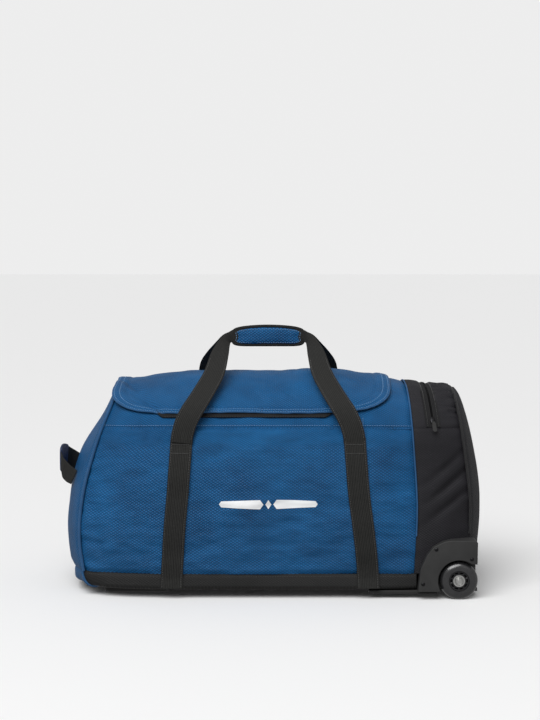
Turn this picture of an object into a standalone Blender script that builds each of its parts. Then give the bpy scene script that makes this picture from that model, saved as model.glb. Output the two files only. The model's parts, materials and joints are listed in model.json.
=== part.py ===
"""Rolling duffel bag, built as separate pieces. Metres, +X to the wheeled end, -Y to the front, +Z up.

The soft pieces are patches of one skin. skin() gives a point of it from u, which runs from the left rim to
the right rim, and p, which runs from the front base edge (0) over the crest (1) to the back base edge (2).
"""

import math

import bmesh
import bpy
import numpy as np
from mathutils import Vector

GAP = 0.0003
FABRIC = 0.004
WEBBING = 0.002
WEBBING_WIDE = 0.040
STRAP_LIFT = 0.0012

# The bag's skin
BASE_UNDER = 0.0155
BAND_TOP = 0.0460
WALL_TOP = 0.285
HALF_DEPTH = 0.180
CORNER_INSET = 0.035
WALL_SHARE = 0.62
SHOULDER_RISE = 0.050
CREST_REACH = 0.120
CREST = ((-0.290, 0.378), (-0.240, 0.389), (-0.170, 0.399), (0.170, 0.399), (0.222, 0.393), (0.350, 0.374))
LEFT_RIM = ((0.012, -0.340), (0.110, -0.355), (0.200, -0.345), (0.300, -0.315), (0.375, -0.285))
RIGHT_RIM = ((0.012, 0.362), (0.150, 0.371), (0.200, 0.368), (0.315, 0.352), (0.370, 0.345))
LEFT_BULGE = 0.032
RIGHT_BULGE = 0.028

# Seams and openings, as shares u and p of the skin
BODY_SEAM = 0.8600
FRONT_SEAM = 0.6960
FLAP = (-0.002, 0.807, 0.753, 1.180)
MOUTH = (0.030, 0.775, 0.772, 1.165)
END_ZIP = (0.8985, 0.9415, 0.700)
SEAM_U = 0.0014
SEAM_P = 0.0011
METRES_PER_U = 0.632
METRES_PER_P = 0.620
FLAP_LIFT = 0.0045
FLAP_THICK = 0.0025

# Wheels and their mouldings
WHEEL_X = 0.3463
WHEEL_Y = 0.1730
WHEEL_R = 0.0350
HOUSING_OUT = 0.1860
HOUSING_IN = 0.1480
HOUSING_WALL = 0.0030
ARCH_R = 0.0389
HOUSING_LOW = 0.0155
HUB_HOLES = 10

# Carry handles
HANDLE_X = -0.0035
HANDLE_Y = 0.1870
HANDLE_Z = 0.3000
GRIP_Z = 0.4735

# Telescopic handle
TUBE_Y = 0.052
TUBE_Z = 0.036
BEZEL_X = -0.367

BLUE = (0.022, 0.105, 0.300)
NAVY = (0.012, 0.030, 0.090)
BLACK_FABRIC = (0.020, 0.020, 0.023)
BLACK_WEBBING = (0.030, 0.030, 0.029)
BLACK_PLASTIC = (0.040, 0.040, 0.041)
TYRE_BLACK = (0.012, 0.012, 0.012)
STEEL = (0.62, 0.62, 0.60)
ALUMINIUM = (0.55, 0.56, 0.58)
BOARD = (0.11, 0.10, 0.09)


def clear_scene():
    for obj in list(bpy.data.objects):
        bpy.data.objects.remove(obj, do_unlink=True)


# Shape of the skin


def table(rows, at):
    return float(np.interp(at, [row[0] for row in rows], [row[1] for row in rows]))


def half_depth(u):
    return HALF_DEPTH - CORNER_INSET * abs(2 * u - 1) ** 6


def profile(depth, crest, q):
    """(distance from the middle plane, height) at share q of the way from the base edge to the crest."""
    if q <= WALL_SHARE:
        z = BASE_UNDER + (WALL_TOP - BASE_UNDER) * q / WALL_SHARE
        return depth * wall_bow(z), z
    t = (q - WALL_SHARE) / (1 - WALL_SHARE)
    a, b, c, d = (1 - t) ** 3, 3 * (1 - t) ** 2 * t, 3 * (1 - t) * t * t, t**3
    reach = CREST_REACH * depth / HALF_DEPTH
    return depth * (a + b) + reach * c, WALL_TOP * a + (WALL_TOP + SHOULDER_RISE) * b + crest * (c + d)


def wall_bow(z):
    return 1 - 0.04 * (max(WALL_TOP - z, 0) / (WALL_TOP - BASE_UNDER)) ** 3


def skin_point(u, p):
    q = p if p <= 1 else 2 - p
    x = -0.3 + 0.65 * u
    for _ in range(4):
        y, z = profile(half_depth(u), table(CREST, x), q)
        x = table(LEFT_RIM, z) * (1 - u) + table(RIGHT_RIM, z) * u
    return Vector((x, -y if p <= 1 else y, z))


def skin(u, p, lift=0.0):
    step = 0.004
    along = skin_point(u + step, p) - skin_point(u - step, p)
    low, high = max(p - step, 0), min(p + step, 2)
    up = skin_point(u, high) - skin_point(u, low)
    return skin_point(u, p) + lift * along.cross(up).normalized()


def share_at_height(z):
    return WALL_SHARE * (z - BASE_UNDER) / (WALL_TOP - BASE_UNDER)


def share_at_x(x, z):
    left, right = table(LEFT_RIM, z), table(RIGHT_RIM, z)
    return (x - left) / (right - left)


def rim_depth(side, z):
    """Half the depth of an end panel at height z."""
    crest = table(CREST, -0.285 if side < 0 else 0.345)
    depth = HALF_DEPTH - CORNER_INSET
    if z <= WALL_TOP:
        return depth * wall_bow(z)
    shares = np.linspace(WALL_SHARE, 1, 60)
    rows = [profile(depth, crest, share)[::-1] for share in shares]
    return table(rows, z)


def end_x(side, y, z):
    """The outer face of an end panel, which bows out between its rims."""
    rim, bulge = (LEFT_RIM, LEFT_BULGE) if side < 0 else (RIGHT_RIM, RIGHT_BULGE)
    across = min(abs(y) / max(rim_depth(side, z), 1e-4), 1)
    high = max(z - 0.20, 0) / 0.18
    bow = bulge * (1 - across**2) * math.sqrt(max(1 - high**2, 0))
    return table(rim, z) + side * (bow + FABRIC + 0.0005)


# Mesh builders


def material(name, colour, roughness, metallic):
    made = bpy.data.materials.new(name)
    made.use_nodes = True
    shader = made.node_tree.nodes["Principled BSDF"]
    shader.inputs["Base Color"].default_value = (*colour, 1)
    shader.inputs["Roughness"].default_value = roughness
    shader.inputs["Metallic"].default_value = metallic
    return made


def add(name, points, faces, colour, origin=(0, 0, 0), roughness=0.8, metallic=0.0, smooth=False):
    """One object whose mesh is given in the bag's frame and whose origin is put at `origin`."""
    origin = Vector(origin)
    mesh = bpy.data.meshes.new(name)
    mesh.from_pydata([Vector(point) - origin for point in points], [], faces)
    work = bmesh.new()
    work.from_mesh(mesh)
    bmesh.ops.recalc_face_normals(work, faces=work.faces)
    work.to_mesh(mesh)
    work.free()
    obj = bpy.data.objects.new(name, mesh)
    obj.location = origin
    bpy.context.scene.collection.objects.link(obj)
    mesh.materials.append(material(name + "_material", colour, roughness, metallic))
    if smooth:
        mesh.shade_smooth()
        mesh.set_sharp_from_angle(angle=math.radians(35))
    return obj


def stacked(loops, closed=False):
    """Points and faces of a body whose sides join equal loops in turn, capped at both ends unless closed."""
    count = len(loops[0])
    points = [point for loop in loops for point in loop]
    faces = []
    rows = len(loops) if closed else len(loops) - 1
    for row in range(rows):
        here, there = row * count, (row + 1) % len(loops) * count
        for i in range(count):
            j = (i + 1) % count
            faces.append((here + i, here + j, there + j, there + i))
    if not closed:
        faces.append(tuple(range(count)))
        faces.append(tuple(range(len(points) - count, len(points))))
    return points, faces


def panel(us, ps, outer, inner, cut=None):
    """Points and faces of a patch of the skin, two layers thick, without the cells that `cut` names."""
    points = [skin(u, p, outer) for u in us for p in ps] + [skin(u, p, inner) for u in us for p in ps]
    layer = len(us) * len(ps)
    cells = [
        (i, j)
        for i in range(len(us) - 1)
        for j in range(len(ps) - 1)
        if not (cut and cut((us[i] + us[i + 1]) / 2, (ps[j] + ps[j + 1]) / 2))
    ]
    faces, edges = [], {}
    for i, j in cells:
        corners = [i * len(ps) + j, (i + 1) * len(ps) + j, (i + 1) * len(ps) + j + 1, i * len(ps) + j + 1]
        faces.append(tuple(corners))
        faces.append(tuple(corner + layer for corner in reversed(corners)))
        for a, b in zip(corners, corners[1:] + corners[:1]):
            if edges.pop((b, a), None) is None:
                edges[(a, b)] = True
    faces += [(b, a, a + layer, b + layer) for a, b in edges]
    used = sorted({index for face in faces for index in face})
    new = {old: at for at, old in enumerate(used)}
    return [points[old] for old in used], [tuple(new[index] for index in face) for face in faces]


def prism(outline, low, high, axis):
    """An outline pushed along an axis: (x, z) pairs along Y, (y, z) pairs along X, (x, y) pairs along Z."""
    order = {"X": lambda a, b, c: (c, a, b), "Y": lambda a, b, c: (a, c, b), "Z": lambda a, b, c: (a, b, c)}
    return stacked([[order[axis](a, b, at) for a, b in outline] for at in (low, high)])


def box(x0, x1, y0, y1, z0, z1):
    return prism([(x0, y0), (x1, y0), (x1, y1), (x0, y1)], z0, z1, "Z")


def rounded_box(x0, x1, y0, y1, z0, z1, edge):
    """A block whose outline in X and Y has cut corners and whose upper and lower edges are chamfered."""

    def ring(inset):
        a, b, c, d = x0 + inset, x1 - inset, y0 + inset, y1 - inset
        e = edge
        return [(a + e, c), (b - e, c), (b, c + e), (b, d - e), (b - e, d), (a + e, d), (a, d - e), (a, c + e)]

    rows = ((edge / 2, z0), (0, z0 + edge / 2), (0, z1 - edge / 2), (edge / 2, z1))
    return stacked([[(x, y, z) for x, y in ring(inset)] for inset, z in rows])


def inset(outline, by):
    """An outline moved inwards by a distance, corner by corner."""
    points = [Vector(point) for point in outline]
    area = sum(a.x * b.y - b.x * a.y for a, b in zip(points, points[1:] + points[:1]))
    turn = 1 if area > 0 else -1
    moved = []
    for before, at, after in zip(points[-1:] + points[:-1], points, points[1:] + points[:1]):
        first, second = (at - before).normalized(), (after - at).normalized()
        a, b = Vector((-first.y, first.x)) * turn, Vector((-second.y, second.x)) * turn
        moved.append(tuple(at + by * (a + b) / max(1 + a.dot(b), 0.3)))
    return moved


def ribbon(stations, thick):
    """A strap through stations of (middle, width direction, face direction, width)."""
    loops = []
    for middle, across, out, wide in stations:
        a, b = across.normalized() * wide / 2, out.normalized() * thick / 2
        loops.append([middle - a - b, middle + a - b, middle + a + b, middle - a + b])
    return stacked(loops)


def ring_of(section, centre, segments):
    """A ring about the Y axis through `centre`, from a closed section of (radius, y) pairs."""
    loops = []
    for i in range(segments):
        angle = 2 * math.pi * i / segments
        out = Vector((math.cos(angle), 0, math.sin(angle)))
        loops.append([Vector(centre) + r * out + Vector((0, y, 0)) for r, y in section])
    return stacked(loops, closed=True)


def turned(stations, centre, segments):
    """A solid turned about the Y axis through `centre`, from (y, radius) stations."""
    loops = []
    for y, r in stations:
        angles = [2 * math.pi * i / segments for i in range(segments)]
        loops.append([Vector(centre) + Vector((r * math.cos(a), y, r * math.sin(a))) for a in angles])
    return stacked(loops)


def cutter(name, shape):
    """A hidden helper for Boolean cuts and joins."""
    obj = add(name, *shape, (0.5, 0.5, 0.5))
    obj.hide_render = True
    obj.display_type = "WIRE"
    return obj


def boolean(obj, other, operation="DIFFERENCE"):
    change = obj.modifiers.new(other.name, "BOOLEAN")
    change.operation = operation
    change.solver = "EXACT"
    change.object = other


def loop_in_shares(bounds, power, count=48):
    """A rounded rectangle in u and p. A high power gives square corners."""
    u0, u1, p0, p1 = bounds
    points = []
    for i in range(count):
        c, s = math.cos(2 * math.pi * i / count), math.sin(2 * math.pi * i / count)
        if power:
            r = (abs(c) ** power + abs(s) ** power) ** (-1 / power)
        else:
            r = 1 / max(abs(c), abs(s))
        points.append(((u0 + u1) / 2 + (u1 - u0) / 2 * r * c, (p0 + p1) / 2 + (p1 - p0) / 2 * r * s))
    return points


def shrunk(bounds, by):
    """Bounds in u and p, moved in by a distance on the skin."""
    u0, u1, p0, p1 = bounds
    a, b = by / METRES_PER_U, by / METRES_PER_P
    return u0 + a, u1 - a, p0 + b, p1 - b


def towards(outline, share):
    """An outline scaled about its own middle."""
    a = sum(point[0] for point in outline) / len(outline)
    b = sum(point[1] for point in outline) / len(outline)
    return [(a + share * (point[0] - a), b + share * (point[1] - b)) for point in outline]


# Fabric body


def base_outline(z, lift):
    """The bag's outline in plan at height z, grown by `lift`."""
    points = []
    for side, first in ((-1, 1), (1, -1)):
        depth = rim_depth(side, z)
        for i in range(9):
            y = first * depth * (1 - i / 4)
            points.append((end_x(side, y, z), y))
        for i in range(1, 12):
            u = i / 12 if side < 0 else 1 - i / 12
            points.append((skin(u, share_at_height(z)).x, side * half_depth(u) * wall_bow(z)))
    return inset(points, -lift)


def build_base():
    rows = (
        (0.0060, BASE_UNDER, 0.016),
        (0.0, BASE_UNDER + 0.0060, 0.022),
        (0.0, BAND_TOP, BAND_TOP),
        (FABRIC, BAND_TOP, BAND_TOP),
        (FABRIC, BASE_UNDER + 0.0080, 0.024),
        (0.0100, BASE_UNDER + FABRIC, 0.020),
    )
    loops = [[(x, y, z) for x, y in inset(base_outline(at, 0), by)] for by, z, at in rows]
    return add("base_shell", *stacked(loops), BLACK_FABRIC)


def build_side_panels():
    us = [i / 14 * (BODY_SEAM - SEAM_U) for i in range(15)]
    low = share_at_height(BAND_TOP + 0.0005)
    ps = [low + i / 6 * (FRONT_SEAM - SEAM_P - low) for i in range(7)]
    add("front_panel", *panel(us, ps, 0, -FABRIC), BLUE)
    add("back_panel", *panel(us, [2 - p for p in reversed(ps)], 0, -FABRIC), BLUE)


def build_yoke():
    outer = loop_in_shares((0, BODY_SEAM - SEAM_U, FRONT_SEAM + SEAM_P, 2 - FRONT_SEAM - SEAM_P), None)
    mouth = loop_in_shares(MOUTH, 8)
    loops = [
        [skin(u, p, 0) for u, p in mouth],
        [skin(u, p, 0) for u, p in outer],
        [skin(u, p, -FABRIC) for u, p in outer],
        [skin(u, p, -FABRIC) for u, p in mouth],
    ]
    add("top_yoke", *stacked(loops, closed=True), BLUE)


def end_panel_loops(side, shares, outline):
    outer, inner = [], []
    for share in shares:
        ring = towards(outline, share)
        outer.append([(end_x(side, y, z), y, z) for y, z in ring])
        inner.append([(end_x(side, y, z) - side * FABRIC, y, z) for y, z in ring])
    return outer + inner[::-1]


def end_outline(side, low):
    crest = table(CREST, -0.285 if side < 0 else 0.345)
    depth = HALF_DEPTH - CORNER_INSET
    start = share_at_height(low)
    front = [profile(depth, crest, start + (1 - start) * i / 14) for i in range(15)]
    points = [(-y, z) for y, z in front]
    points += [(y, z) for y, z in front[-2::-1]]
    points += [(rim_depth(side, low) * (1 - i / 4), low) for i in range(1, 8)]
    return points


def build_ends(bays, trolley_hole):
    shares = (0.06, 0.35, 0.70, 1.0)
    low = BAND_TOP + 0.0005
    left = add("left_end_panel", *stacked(end_panel_loops(-1, shares, end_outline(-1, low))), BLUE)
    boolean(left, trolley_hole)
    add("right_end_panel", *stacked(end_panel_loops(1, shares, end_outline(1, low))), BLACK_FABRIC)
    u0, u1, p0 = END_ZIP
    us = [BODY_SEAM + SEAM_U, 0.880, u0, (u0 + u1) / 2, u1, 0.97, 1.0]
    start = share_at_height(low)
    ps = [start, 0.15, 0.23, 0.34, 0.46, 0.58, 0.64, p0, 0.78, 0.86, 0.93, 1.0]
    ps += [2 - p for p in reversed(ps[:-1])]
    shape = panel(us, ps, 0, -FABRIC, lambda u, p: u0 < u < u1 and p0 < p < 2 - p0)
    section = add("end_section", *shape, BLACK_FABRIC)
    for bay in bays:
        boolean(section, bay)
    us = [u0 + 0.0008, (u0 + u1) / 2, u1 - 0.0008]
    ps = [p0 + 0.001, 0.78, 0.86, 0.93, 1.0]
    ps += [2 - p for p in reversed(ps[:-1])]
    add("end_zip_tape", *panel(us, ps, -0.0008, -0.0026), BLACK_WEBBING)


def build_lining_boards():
    plan = [(-0.265, -0.1270), (0.3450, -0.1270), (0.3450, 0.1270), (-0.265, 0.1270), (-0.318, 0.0700), (-0.318, -0.0700)]
    add("base_board", *prism(plan, BASE_UNDER + FABRIC + 0.0005, BASE_UNDER + FABRIC + 0.003, "Z"), BOARD)
    depth, crest = 0.158, 0.378
    front = [profile(depth, crest, 0.03 + 0.97 * i / 14) for i in range(15)]
    outline = [(-y, z) for y, z in front] + [(y, z) for y, z in front[-2::-1]]
    add("end_pocket_divider", *prism(outline, 0.2580, 0.2600, "X"), BLACK_FABRIC)


# Lid and main zip


def build_lid(hinge):
    outline = loop_in_shares(FLAP, 5)
    low, high = FLAP_LIFT, FLAP_LIFT + FLAP_THICK
    loops = []
    for lift, shares in ((high, (0.08, 0.35, 0.63, 0.84, 1.0)), (low, (1.0, 0.84, 0.63, 0.35, 0.08))):
        loops += [[skin(u, p, lift) for u, p in towards(outline, share)] for share in shares]
    add("top_flap", *stacked(loops), BLUE, origin=hinge)
    add("lid_zip_tape", *zip_band(0.0150, 0.0230), BLACK_WEBBING, origin=hinge)


def zip_band(start, end):
    """A U of zip tape between two distances inside the mouth, open along the back."""
    outer = loop_in_shares(shrunk(MOUTH, start), 8)
    inner = loop_in_shares(shrunk(MOUTH, end), 8)
    loops = []
    for i in list(range(19, 48)) + list(range(0, 6)):
        (u0, p0), (u1, p1) = outer[i], inner[i]
        loops.append([skin(u0, p0, -0.0008), skin(u1, p1, -0.0008), skin(u1, p1, -0.0026), skin(u0, p0, -0.0026)])
    return stacked(loops)


def slider_shape(middle, along, out, long, wide, tall):
    """A zip slider: a plate that narrows to one end, with a raised bridge."""
    across = out.cross(along).normalized()
    plan = ((-0.5, -0.36), (0.1, -0.5), (0.5, -0.3), (0.5, 0.3), (0.1, 0.5), (-0.5, 0.36))
    loops = []
    for lift, scale in ((0, 0.94), (0.15, 1.0), (0.55, 1.0), (0.62, 0.9), (0.70, 0.55), (1.0, 0.45)):
        loops.append(
            [middle + along * a * long * scale + across * b * wide * scale + out * lift * tall for a, b in plan]
        )
    return stacked(loops)


def build_main_zip():
    add("main_zip_tape", *zip_band(0.0006, 0.0144), BLACK_WEBBING)
    for name, x, facing in (("left", -0.012, -1), ("right", 0.006, 1)):
        p = MOUTH[2] + 0.0075 / METRES_PER_P
        middle = skin(share_at_x(x, 0.352), p, -0.0004)
        out = (skin(share_at_x(x, 0.352), p, 0.01) - skin(share_at_x(x, 0.352), p, 0)).normalized()
        along = Vector((facing, 0, 0))
        shape = slider_shape(middle, along, out, 0.0120, 0.0090, 0.0024)
        add(f"main_zip_slider_{name}", *shape, STEEL, origin=middle, roughness=0.35, metallic=1.0)


def build_end_zip_pull():
    u = (END_ZIP[0] + END_ZIP[1]) / 2
    p = END_ZIP[2] + 0.030
    middle = skin(u, p, 0.0002)
    out = (skin(u, p, 0.01) - skin(u, p, 0)).normalized()
    along = (skin(u, p - 0.01) - skin(u, p + 0.01)).normalized()
    shape = slider_shape(middle, along, out, 0.0130, 0.0100, 0.0050)
    add("end_zip_slider", *shape, STEEL, origin=middle, roughness=0.35, metallic=1.0)
    pivot = middle + along * 0.0045 + out * 0.0047
    across = out.cross(along).normalized()
    plan = ((0.0, -0.0020), (0.004, -0.0035), (0.019, -0.0042), (0.022, -0.0020))
    plan += tuple((a, -b) for a, b in reversed(plan))
    loops = [[pivot + along * a + across * b + out * lift for a, b in plan] for lift in (0.0006, 0.0020)]
    add("end_zip_pull", *stacked(loops), BLACK_PLASTIC, origin=pivot, roughness=0.5)


# Webbing


def sewn_strap(side, bottom_x, middle_x, top_x):
    """Webbing sewn up the front (side -1) or the back (side 1) of the bag."""
    rows = ((0.0230, bottom_x), (0.0700, bottom_x * 0.985), (0.130, 0.5 * (bottom_x + middle_x)))
    rows += ((0.200, middle_x), (0.250, 0.5 * (middle_x + top_x)), (0.2950, top_x))
    loops = []
    low, high = STRAP_LIFT, STRAP_LIFT + WEBBING
    for z, x in rows:
        corners = []
        for edge, lift in ((-1, low), (1, low), (1, high), (-1, high)):
            at = x + edge * WEBBING_WIDE / 2
            share = share_at_height(z) if z < WALL_TOP else WALL_SHARE + 0.4 * (z - WALL_TOP) / 0.05 * 0.38
            u = share_at_x(at, z)
            corners.append(skin(u, share if side < 0 else 2 - share, lift))
        loops.append(corners)
    return stacked(loops)


def build_sewn_straps():
    for side, face in ((-1, "front"), (1, "back")):
        add(f"{face}_strap_left", *sewn_strap(side, -0.179, -0.167, -0.1605), BLACK_WEBBING)
        add(f"{face}_strap_right", *sewn_strap(side, 0.1800, 0.1610, 0.1535), BLACK_WEBBING)


def handle_stations():
    """One side of a carry handle, from its sewn end to the middle of the grip: (x, y, z), lean and width."""
    rows = (
        (0.1555, -0.1870, 0.3030, 0, 0.040),
        (0.1500, -0.1872, 0.3250, 4, 0.040),
        (0.1405, -0.1835, 0.3450, 18, 0.040),
        (0.1290, -0.1740, 0.3630, 34, 0.040),
        (0.1145, -0.1500, 0.3860, 45, 0.040),
        (0.1000, -0.1120, 0.4120, 52, 0.039),
        (0.0915, -0.0640, 0.4420, 46, 0.033),
        (0.0865, -0.0360, 0.4570, 34, 0.025),
        (0.0810, -0.0150, 0.4670, 16, 0.021),
        (0.0730, -0.0055, 0.4716, 0, 0.022),
        (0.0560, -0.0050, GRIP_Z, 0, 0.034),
        (0.0, -0.0050, GRIP_Z, 0, 0.034),
    )
    return [(Vector(row[:3]), math.radians(row[3]), row[4]) for row in rows]


def handle_ribbon(side):
    one = [(Vector((-at.x, at.y, at.z)), lean, wide) for at, lean, wide in handle_stations()]
    other = [(Vector((-at.x, at.y, at.z)), lean, wide) for at, lean, wide in reversed(one[:-1])]
    rows = one + other
    stations = []
    for i, (at, lean, wide) in enumerate(rows):
        before, after = rows[max(i - 1, 0)][0], rows[min(i + 1, len(rows) - 1)][0]
        out = Vector((0, -math.cos(lean), math.sin(lean)))
        across = out.cross(after - before)
        flip = Vector((1, -side, 1))
        stations.append((at * flip + Vector((HANDLE_X, 0, 0)), across * flip, out * flip, wide))
    return ribbon(stations, WEBBING)


def wrap_half(side):
    """Half of the padded wrap: a channel round one handle's webbing, open to the other half."""
    loops = []
    for x, tall in ((-0.0705, 0.0185), (-0.0640, 0.0205), (0.0, 0.0210), (0.0640, 0.0205), (0.0705, 0.0185)):
        section = (
            (0.0004, tall),
            (0.0080, tall),
            (0.0115, tall - 0.004),
            (0.0115, -tall + 0.004),
            (0.0080, -tall),
            (0.0004, -tall),
            (0.0004, -0.0180 * tall / 0.0210),
            (0.0078, -0.0180 * tall / 0.0210),
            (0.0078, 0.0180 * tall / 0.0210),
            (0.0004, 0.0180 * tall / 0.0210),
        )
        loops.append([(HANDLE_X + x, side * y, GRIP_Z + z) for y, z in section])
    return stacked(loops)


def build_handles():
    for side, face in ((-1, "front"), (1, "back")):
        pivot = (HANDLE_X, side * HANDLE_Y, HANDLE_Z)
        add(f"{face}_handle_strap", *handle_ribbon(-side * -1), BLACK_WEBBING, origin=pivot)
        add(f"handle_wrap_{face}", *wrap_half(side), BLUE, origin=pivot)


def build_end_loop(pivot):
    rows = (
        (0.0, -0.0850, 0.0, 0.012),
        (-0.0100, -0.0800, 0.0070, 0.022),
        (-0.0210, -0.0660, 0.0160, 0.034),
        (-0.0275, -0.0400, 0.0250, 0.040),
        (-0.0301, -0.0150, 0.0290, 0.040),
    )
    half = [(Vector(pivot) + Vector(row[:3]), row[3]) for row in rows]
    mirrored = [(at * Vector((1, -1, 1)), wide) for at, wide in reversed(half)]
    line = half + mirrored
    stations = []
    for i, (at, wide) in enumerate(line):
        before, after = line[max(i - 1, 0)][0], line[min(i + 1, len(line) - 1)][0]
        along = (after - before).normalized()
        out = Vector((along.y, -along.x, 0)) * -1
        stations.append((at, out.cross(along), out, wide))
    add("end_loop_strap", *ribbon(stations, WEBBING), BLACK_WEBBING, origin=pivot)
    middle = Vector(pivot) + Vector((-0.0301, 0, 0.0290))
    section = [
        (-0.0025, -0.0225),
        (0.0025, -0.0225),
        (0.0025, 0.0225),
        (-0.0025, 0.0225),
        (-0.0025, 0.0212),
        (0.0013, 0.0212),
        (0.0013, -0.0212),
        (-0.0013, -0.0212),
        (-0.0013, 0.0208),
        (-0.0025, 0.0208),
    ]
    loops = [[middle + Vector((x, y, z)) for x, z in section] for y in (-0.0130, 0.0130)]
    add("end_loop_sleeve", *stacked(loops), NAVY, origin=pivot)


# Wheels


def housing_outline():
    return [
        (0.2710, HOUSING_LOW),
        (0.2756, 0.0576),
        (0.2873, 0.0826),
        (0.3000, 0.0984),
        (0.3193, 0.1077),
        (0.3327, 0.1100),
        (0.3763, 0.1095),
        (0.3800, 0.1060),
        (0.3785, HOUSING_LOW),
    ]


def arch(radius, start, end, count):
    angles = [math.radians(start + (end - start) * i / count) for i in range(count + 1)]
    return [(WHEEL_X + radius * math.cos(a), WHEEL_R + radius * math.sin(a)) for a in angles]


def build_housing(side, face):
    out, back = side * HOUSING_OUT, side * HOUSING_IN
    wall = side * (HOUSING_IN + HOUSING_WALL)
    housing = add(f"wheel_housing_{face}", *prism(housing_outline(), out, back, "Y"), BLACK_PLASTIC, roughness=0.55)
    well = arch(ARCH_R, 54.9, 210.3, 18) + [(0.3118, -0.01), (0.40, -0.01), (0.40, 0.066), (0.374, 0.066)]
    boolean(housing, cutter(f"well_cutter_{face}", prism(well, side * 0.20, wall, "Y")))
    hollow = [(0.2745, 0.0), (0.2790, 0.056), (0.2903, 0.0806), (0.3022, 0.0957), (0.3203, 0.1046), (0.3328, 0.1068)]
    hollow += [(0.3700, 0.1065), (0.3745, 0.1030), (0.3735, 0.0740)]
    hollow += arch(ARCH_R + HOUSING_WALL, 60, 206, 16) + [(0.3070, 0.0)]
    hollow_low, hollow_high = side * (HOUSING_OUT - HOUSING_WALL), wall
    boolean(housing, cutter(f"hollow_cutter_{face}", prism(hollow, hollow_low, hollow_high, "Y")))
    centre = (WHEEL_X, side * WHEEL_Y, WHEEL_R)
    boss = turned([(-side * 0.0100, 0.0070), (-side * 0.0235, 0.0090)], centre, 20)
    boolean(housing, cutter(f"boss_{face}", boss), "UNION")
    hole = turned([(-side * 0.0080, 0.0043), (-side * 0.0300, 0.0043)], centre, 20)
    boolean(housing, cutter(f"axle_hole_cutter_{face}", hole))


def build_wheel(side, face):
    centre = (WHEEL_X, side * WHEEL_Y, WHEEL_R)
    tread = [(0.0188, -0.0090), (0.0260, -0.0115), (0.0310, -0.0095), (0.0342, -0.0050), (WHEEL_R, 0.0)]
    tread += [(r, -y) for r, y in reversed(tread[:-1])]
    shape = ring_of(tread, centre, 40)
    add(f"wheel_tyre_{face}", *shape, TYRE_BLACK, origin=centre, roughness=0.25, smooth=True)
    section = [(0.0113, -0.0095), (0.0185, -0.0085), (0.0185, 0.0085), (0.0113, 0.0095), (0.0113, 0.0022)]
    section += [(0.0085, 0.0022), (0.0085, -0.0022), (0.0113, -0.0022)]
    hub = add(f"wheel_hub_{face}", *ring_of(section, centre, 40), BLACK_PLASTIC, origin=centre, roughness=0.4)
    boolean(hub, hub_holes(face, centre))
    for place, y in (("outer", side * 0.0060), ("inner", -side * 0.0060)):
        section = [(0.0043, y - 0.0035), (0.0110, y - 0.0035), (0.0110, y + 0.0035), (0.0043, y + 0.0035)]
        shape = ring_of(section, centre, 24)
        name = f"wheel_bearing_{face}_{place}"
        add(name, *shape, STEEL, origin=centre, roughness=0.3, metallic=1.0, smooth=True)
    stations = [(0.0124, 0.0055), (0.0118, 0.0068), (0.0100, 0.0070), (0.0099, 0.0040), (-0.0240, 0.0040)]
    shape = turned([(side * y, r) for y, r in stations], centre, 20)
    add(f"axle_bolt_{face}", *shape, STEEL, origin=centre, roughness=0.3, metallic=1.0, smooth=True)


def hub_holes(face, centre):
    points, faces = [], []
    for i in range(HUB_HOLES):
        angle = 2 * math.pi * i / HUB_HOLES
        at = Vector(centre) + 0.0150 * Vector((math.cos(angle), 0, math.sin(angle)))
        more, sides = turned([(-0.02, 0.0021), (0.02, 0.0021)], at, 8)
        faces += [tuple(index + len(points) for index in side) for side in sides]
        points += more
    return cutter(f"hub_hole_cutter_{face}", (points, faces))


def build_tray():
    plan = [(0.1820, -0.1700), (0.3080, -0.1700), (0.3080, -0.1465), (0.3840, -0.1465)]
    plan += [(x, -y) for x, y in reversed(plan)]
    tray = add("wheel_tray", *prism(plan, 0.0090, 0.0150, "Z"), BLACK_PLASTIC, roughness=0.55)
    for i in range(5):
        y = -0.12 + 0.06 * i
        rib = box(0.2000, 0.3700, y - 0.003, y + 0.003, 0.0065, 0.0120)
        boolean(tray, cutter(f"tray_rib_{i}", rib), "UNION")


def build_feet():
    for side, face in ((-1, "front"), (1, "back")):
        y = side * 0.100
        shape = rounded_box(-0.310, -0.190, y - 0.016, y + 0.016, 0.0, BASE_UNDER - 0.0005, 0.006)
        add(f"skid_foot_{face}", *shape, BLACK_PLASTIC, roughness=0.6)


# Telescopic handle


def tube(x0, x1, y, wide, tall, wall):
    """A rectangular tube along X, open at both ends."""

    def ring(less, x):
        a, b = wide / 2 - less, tall / 2 - less
        return [(x, y - a, TUBE_Z - b), (x, y + a, TUBE_Z - b), (x, y + a, TUBE_Z + b), (x, y - a, TUBE_Z + b)]

    return stacked([ring(0, x0), ring(0, x1), ring(wall, x1), ring(wall, x0)], closed=True)


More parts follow.
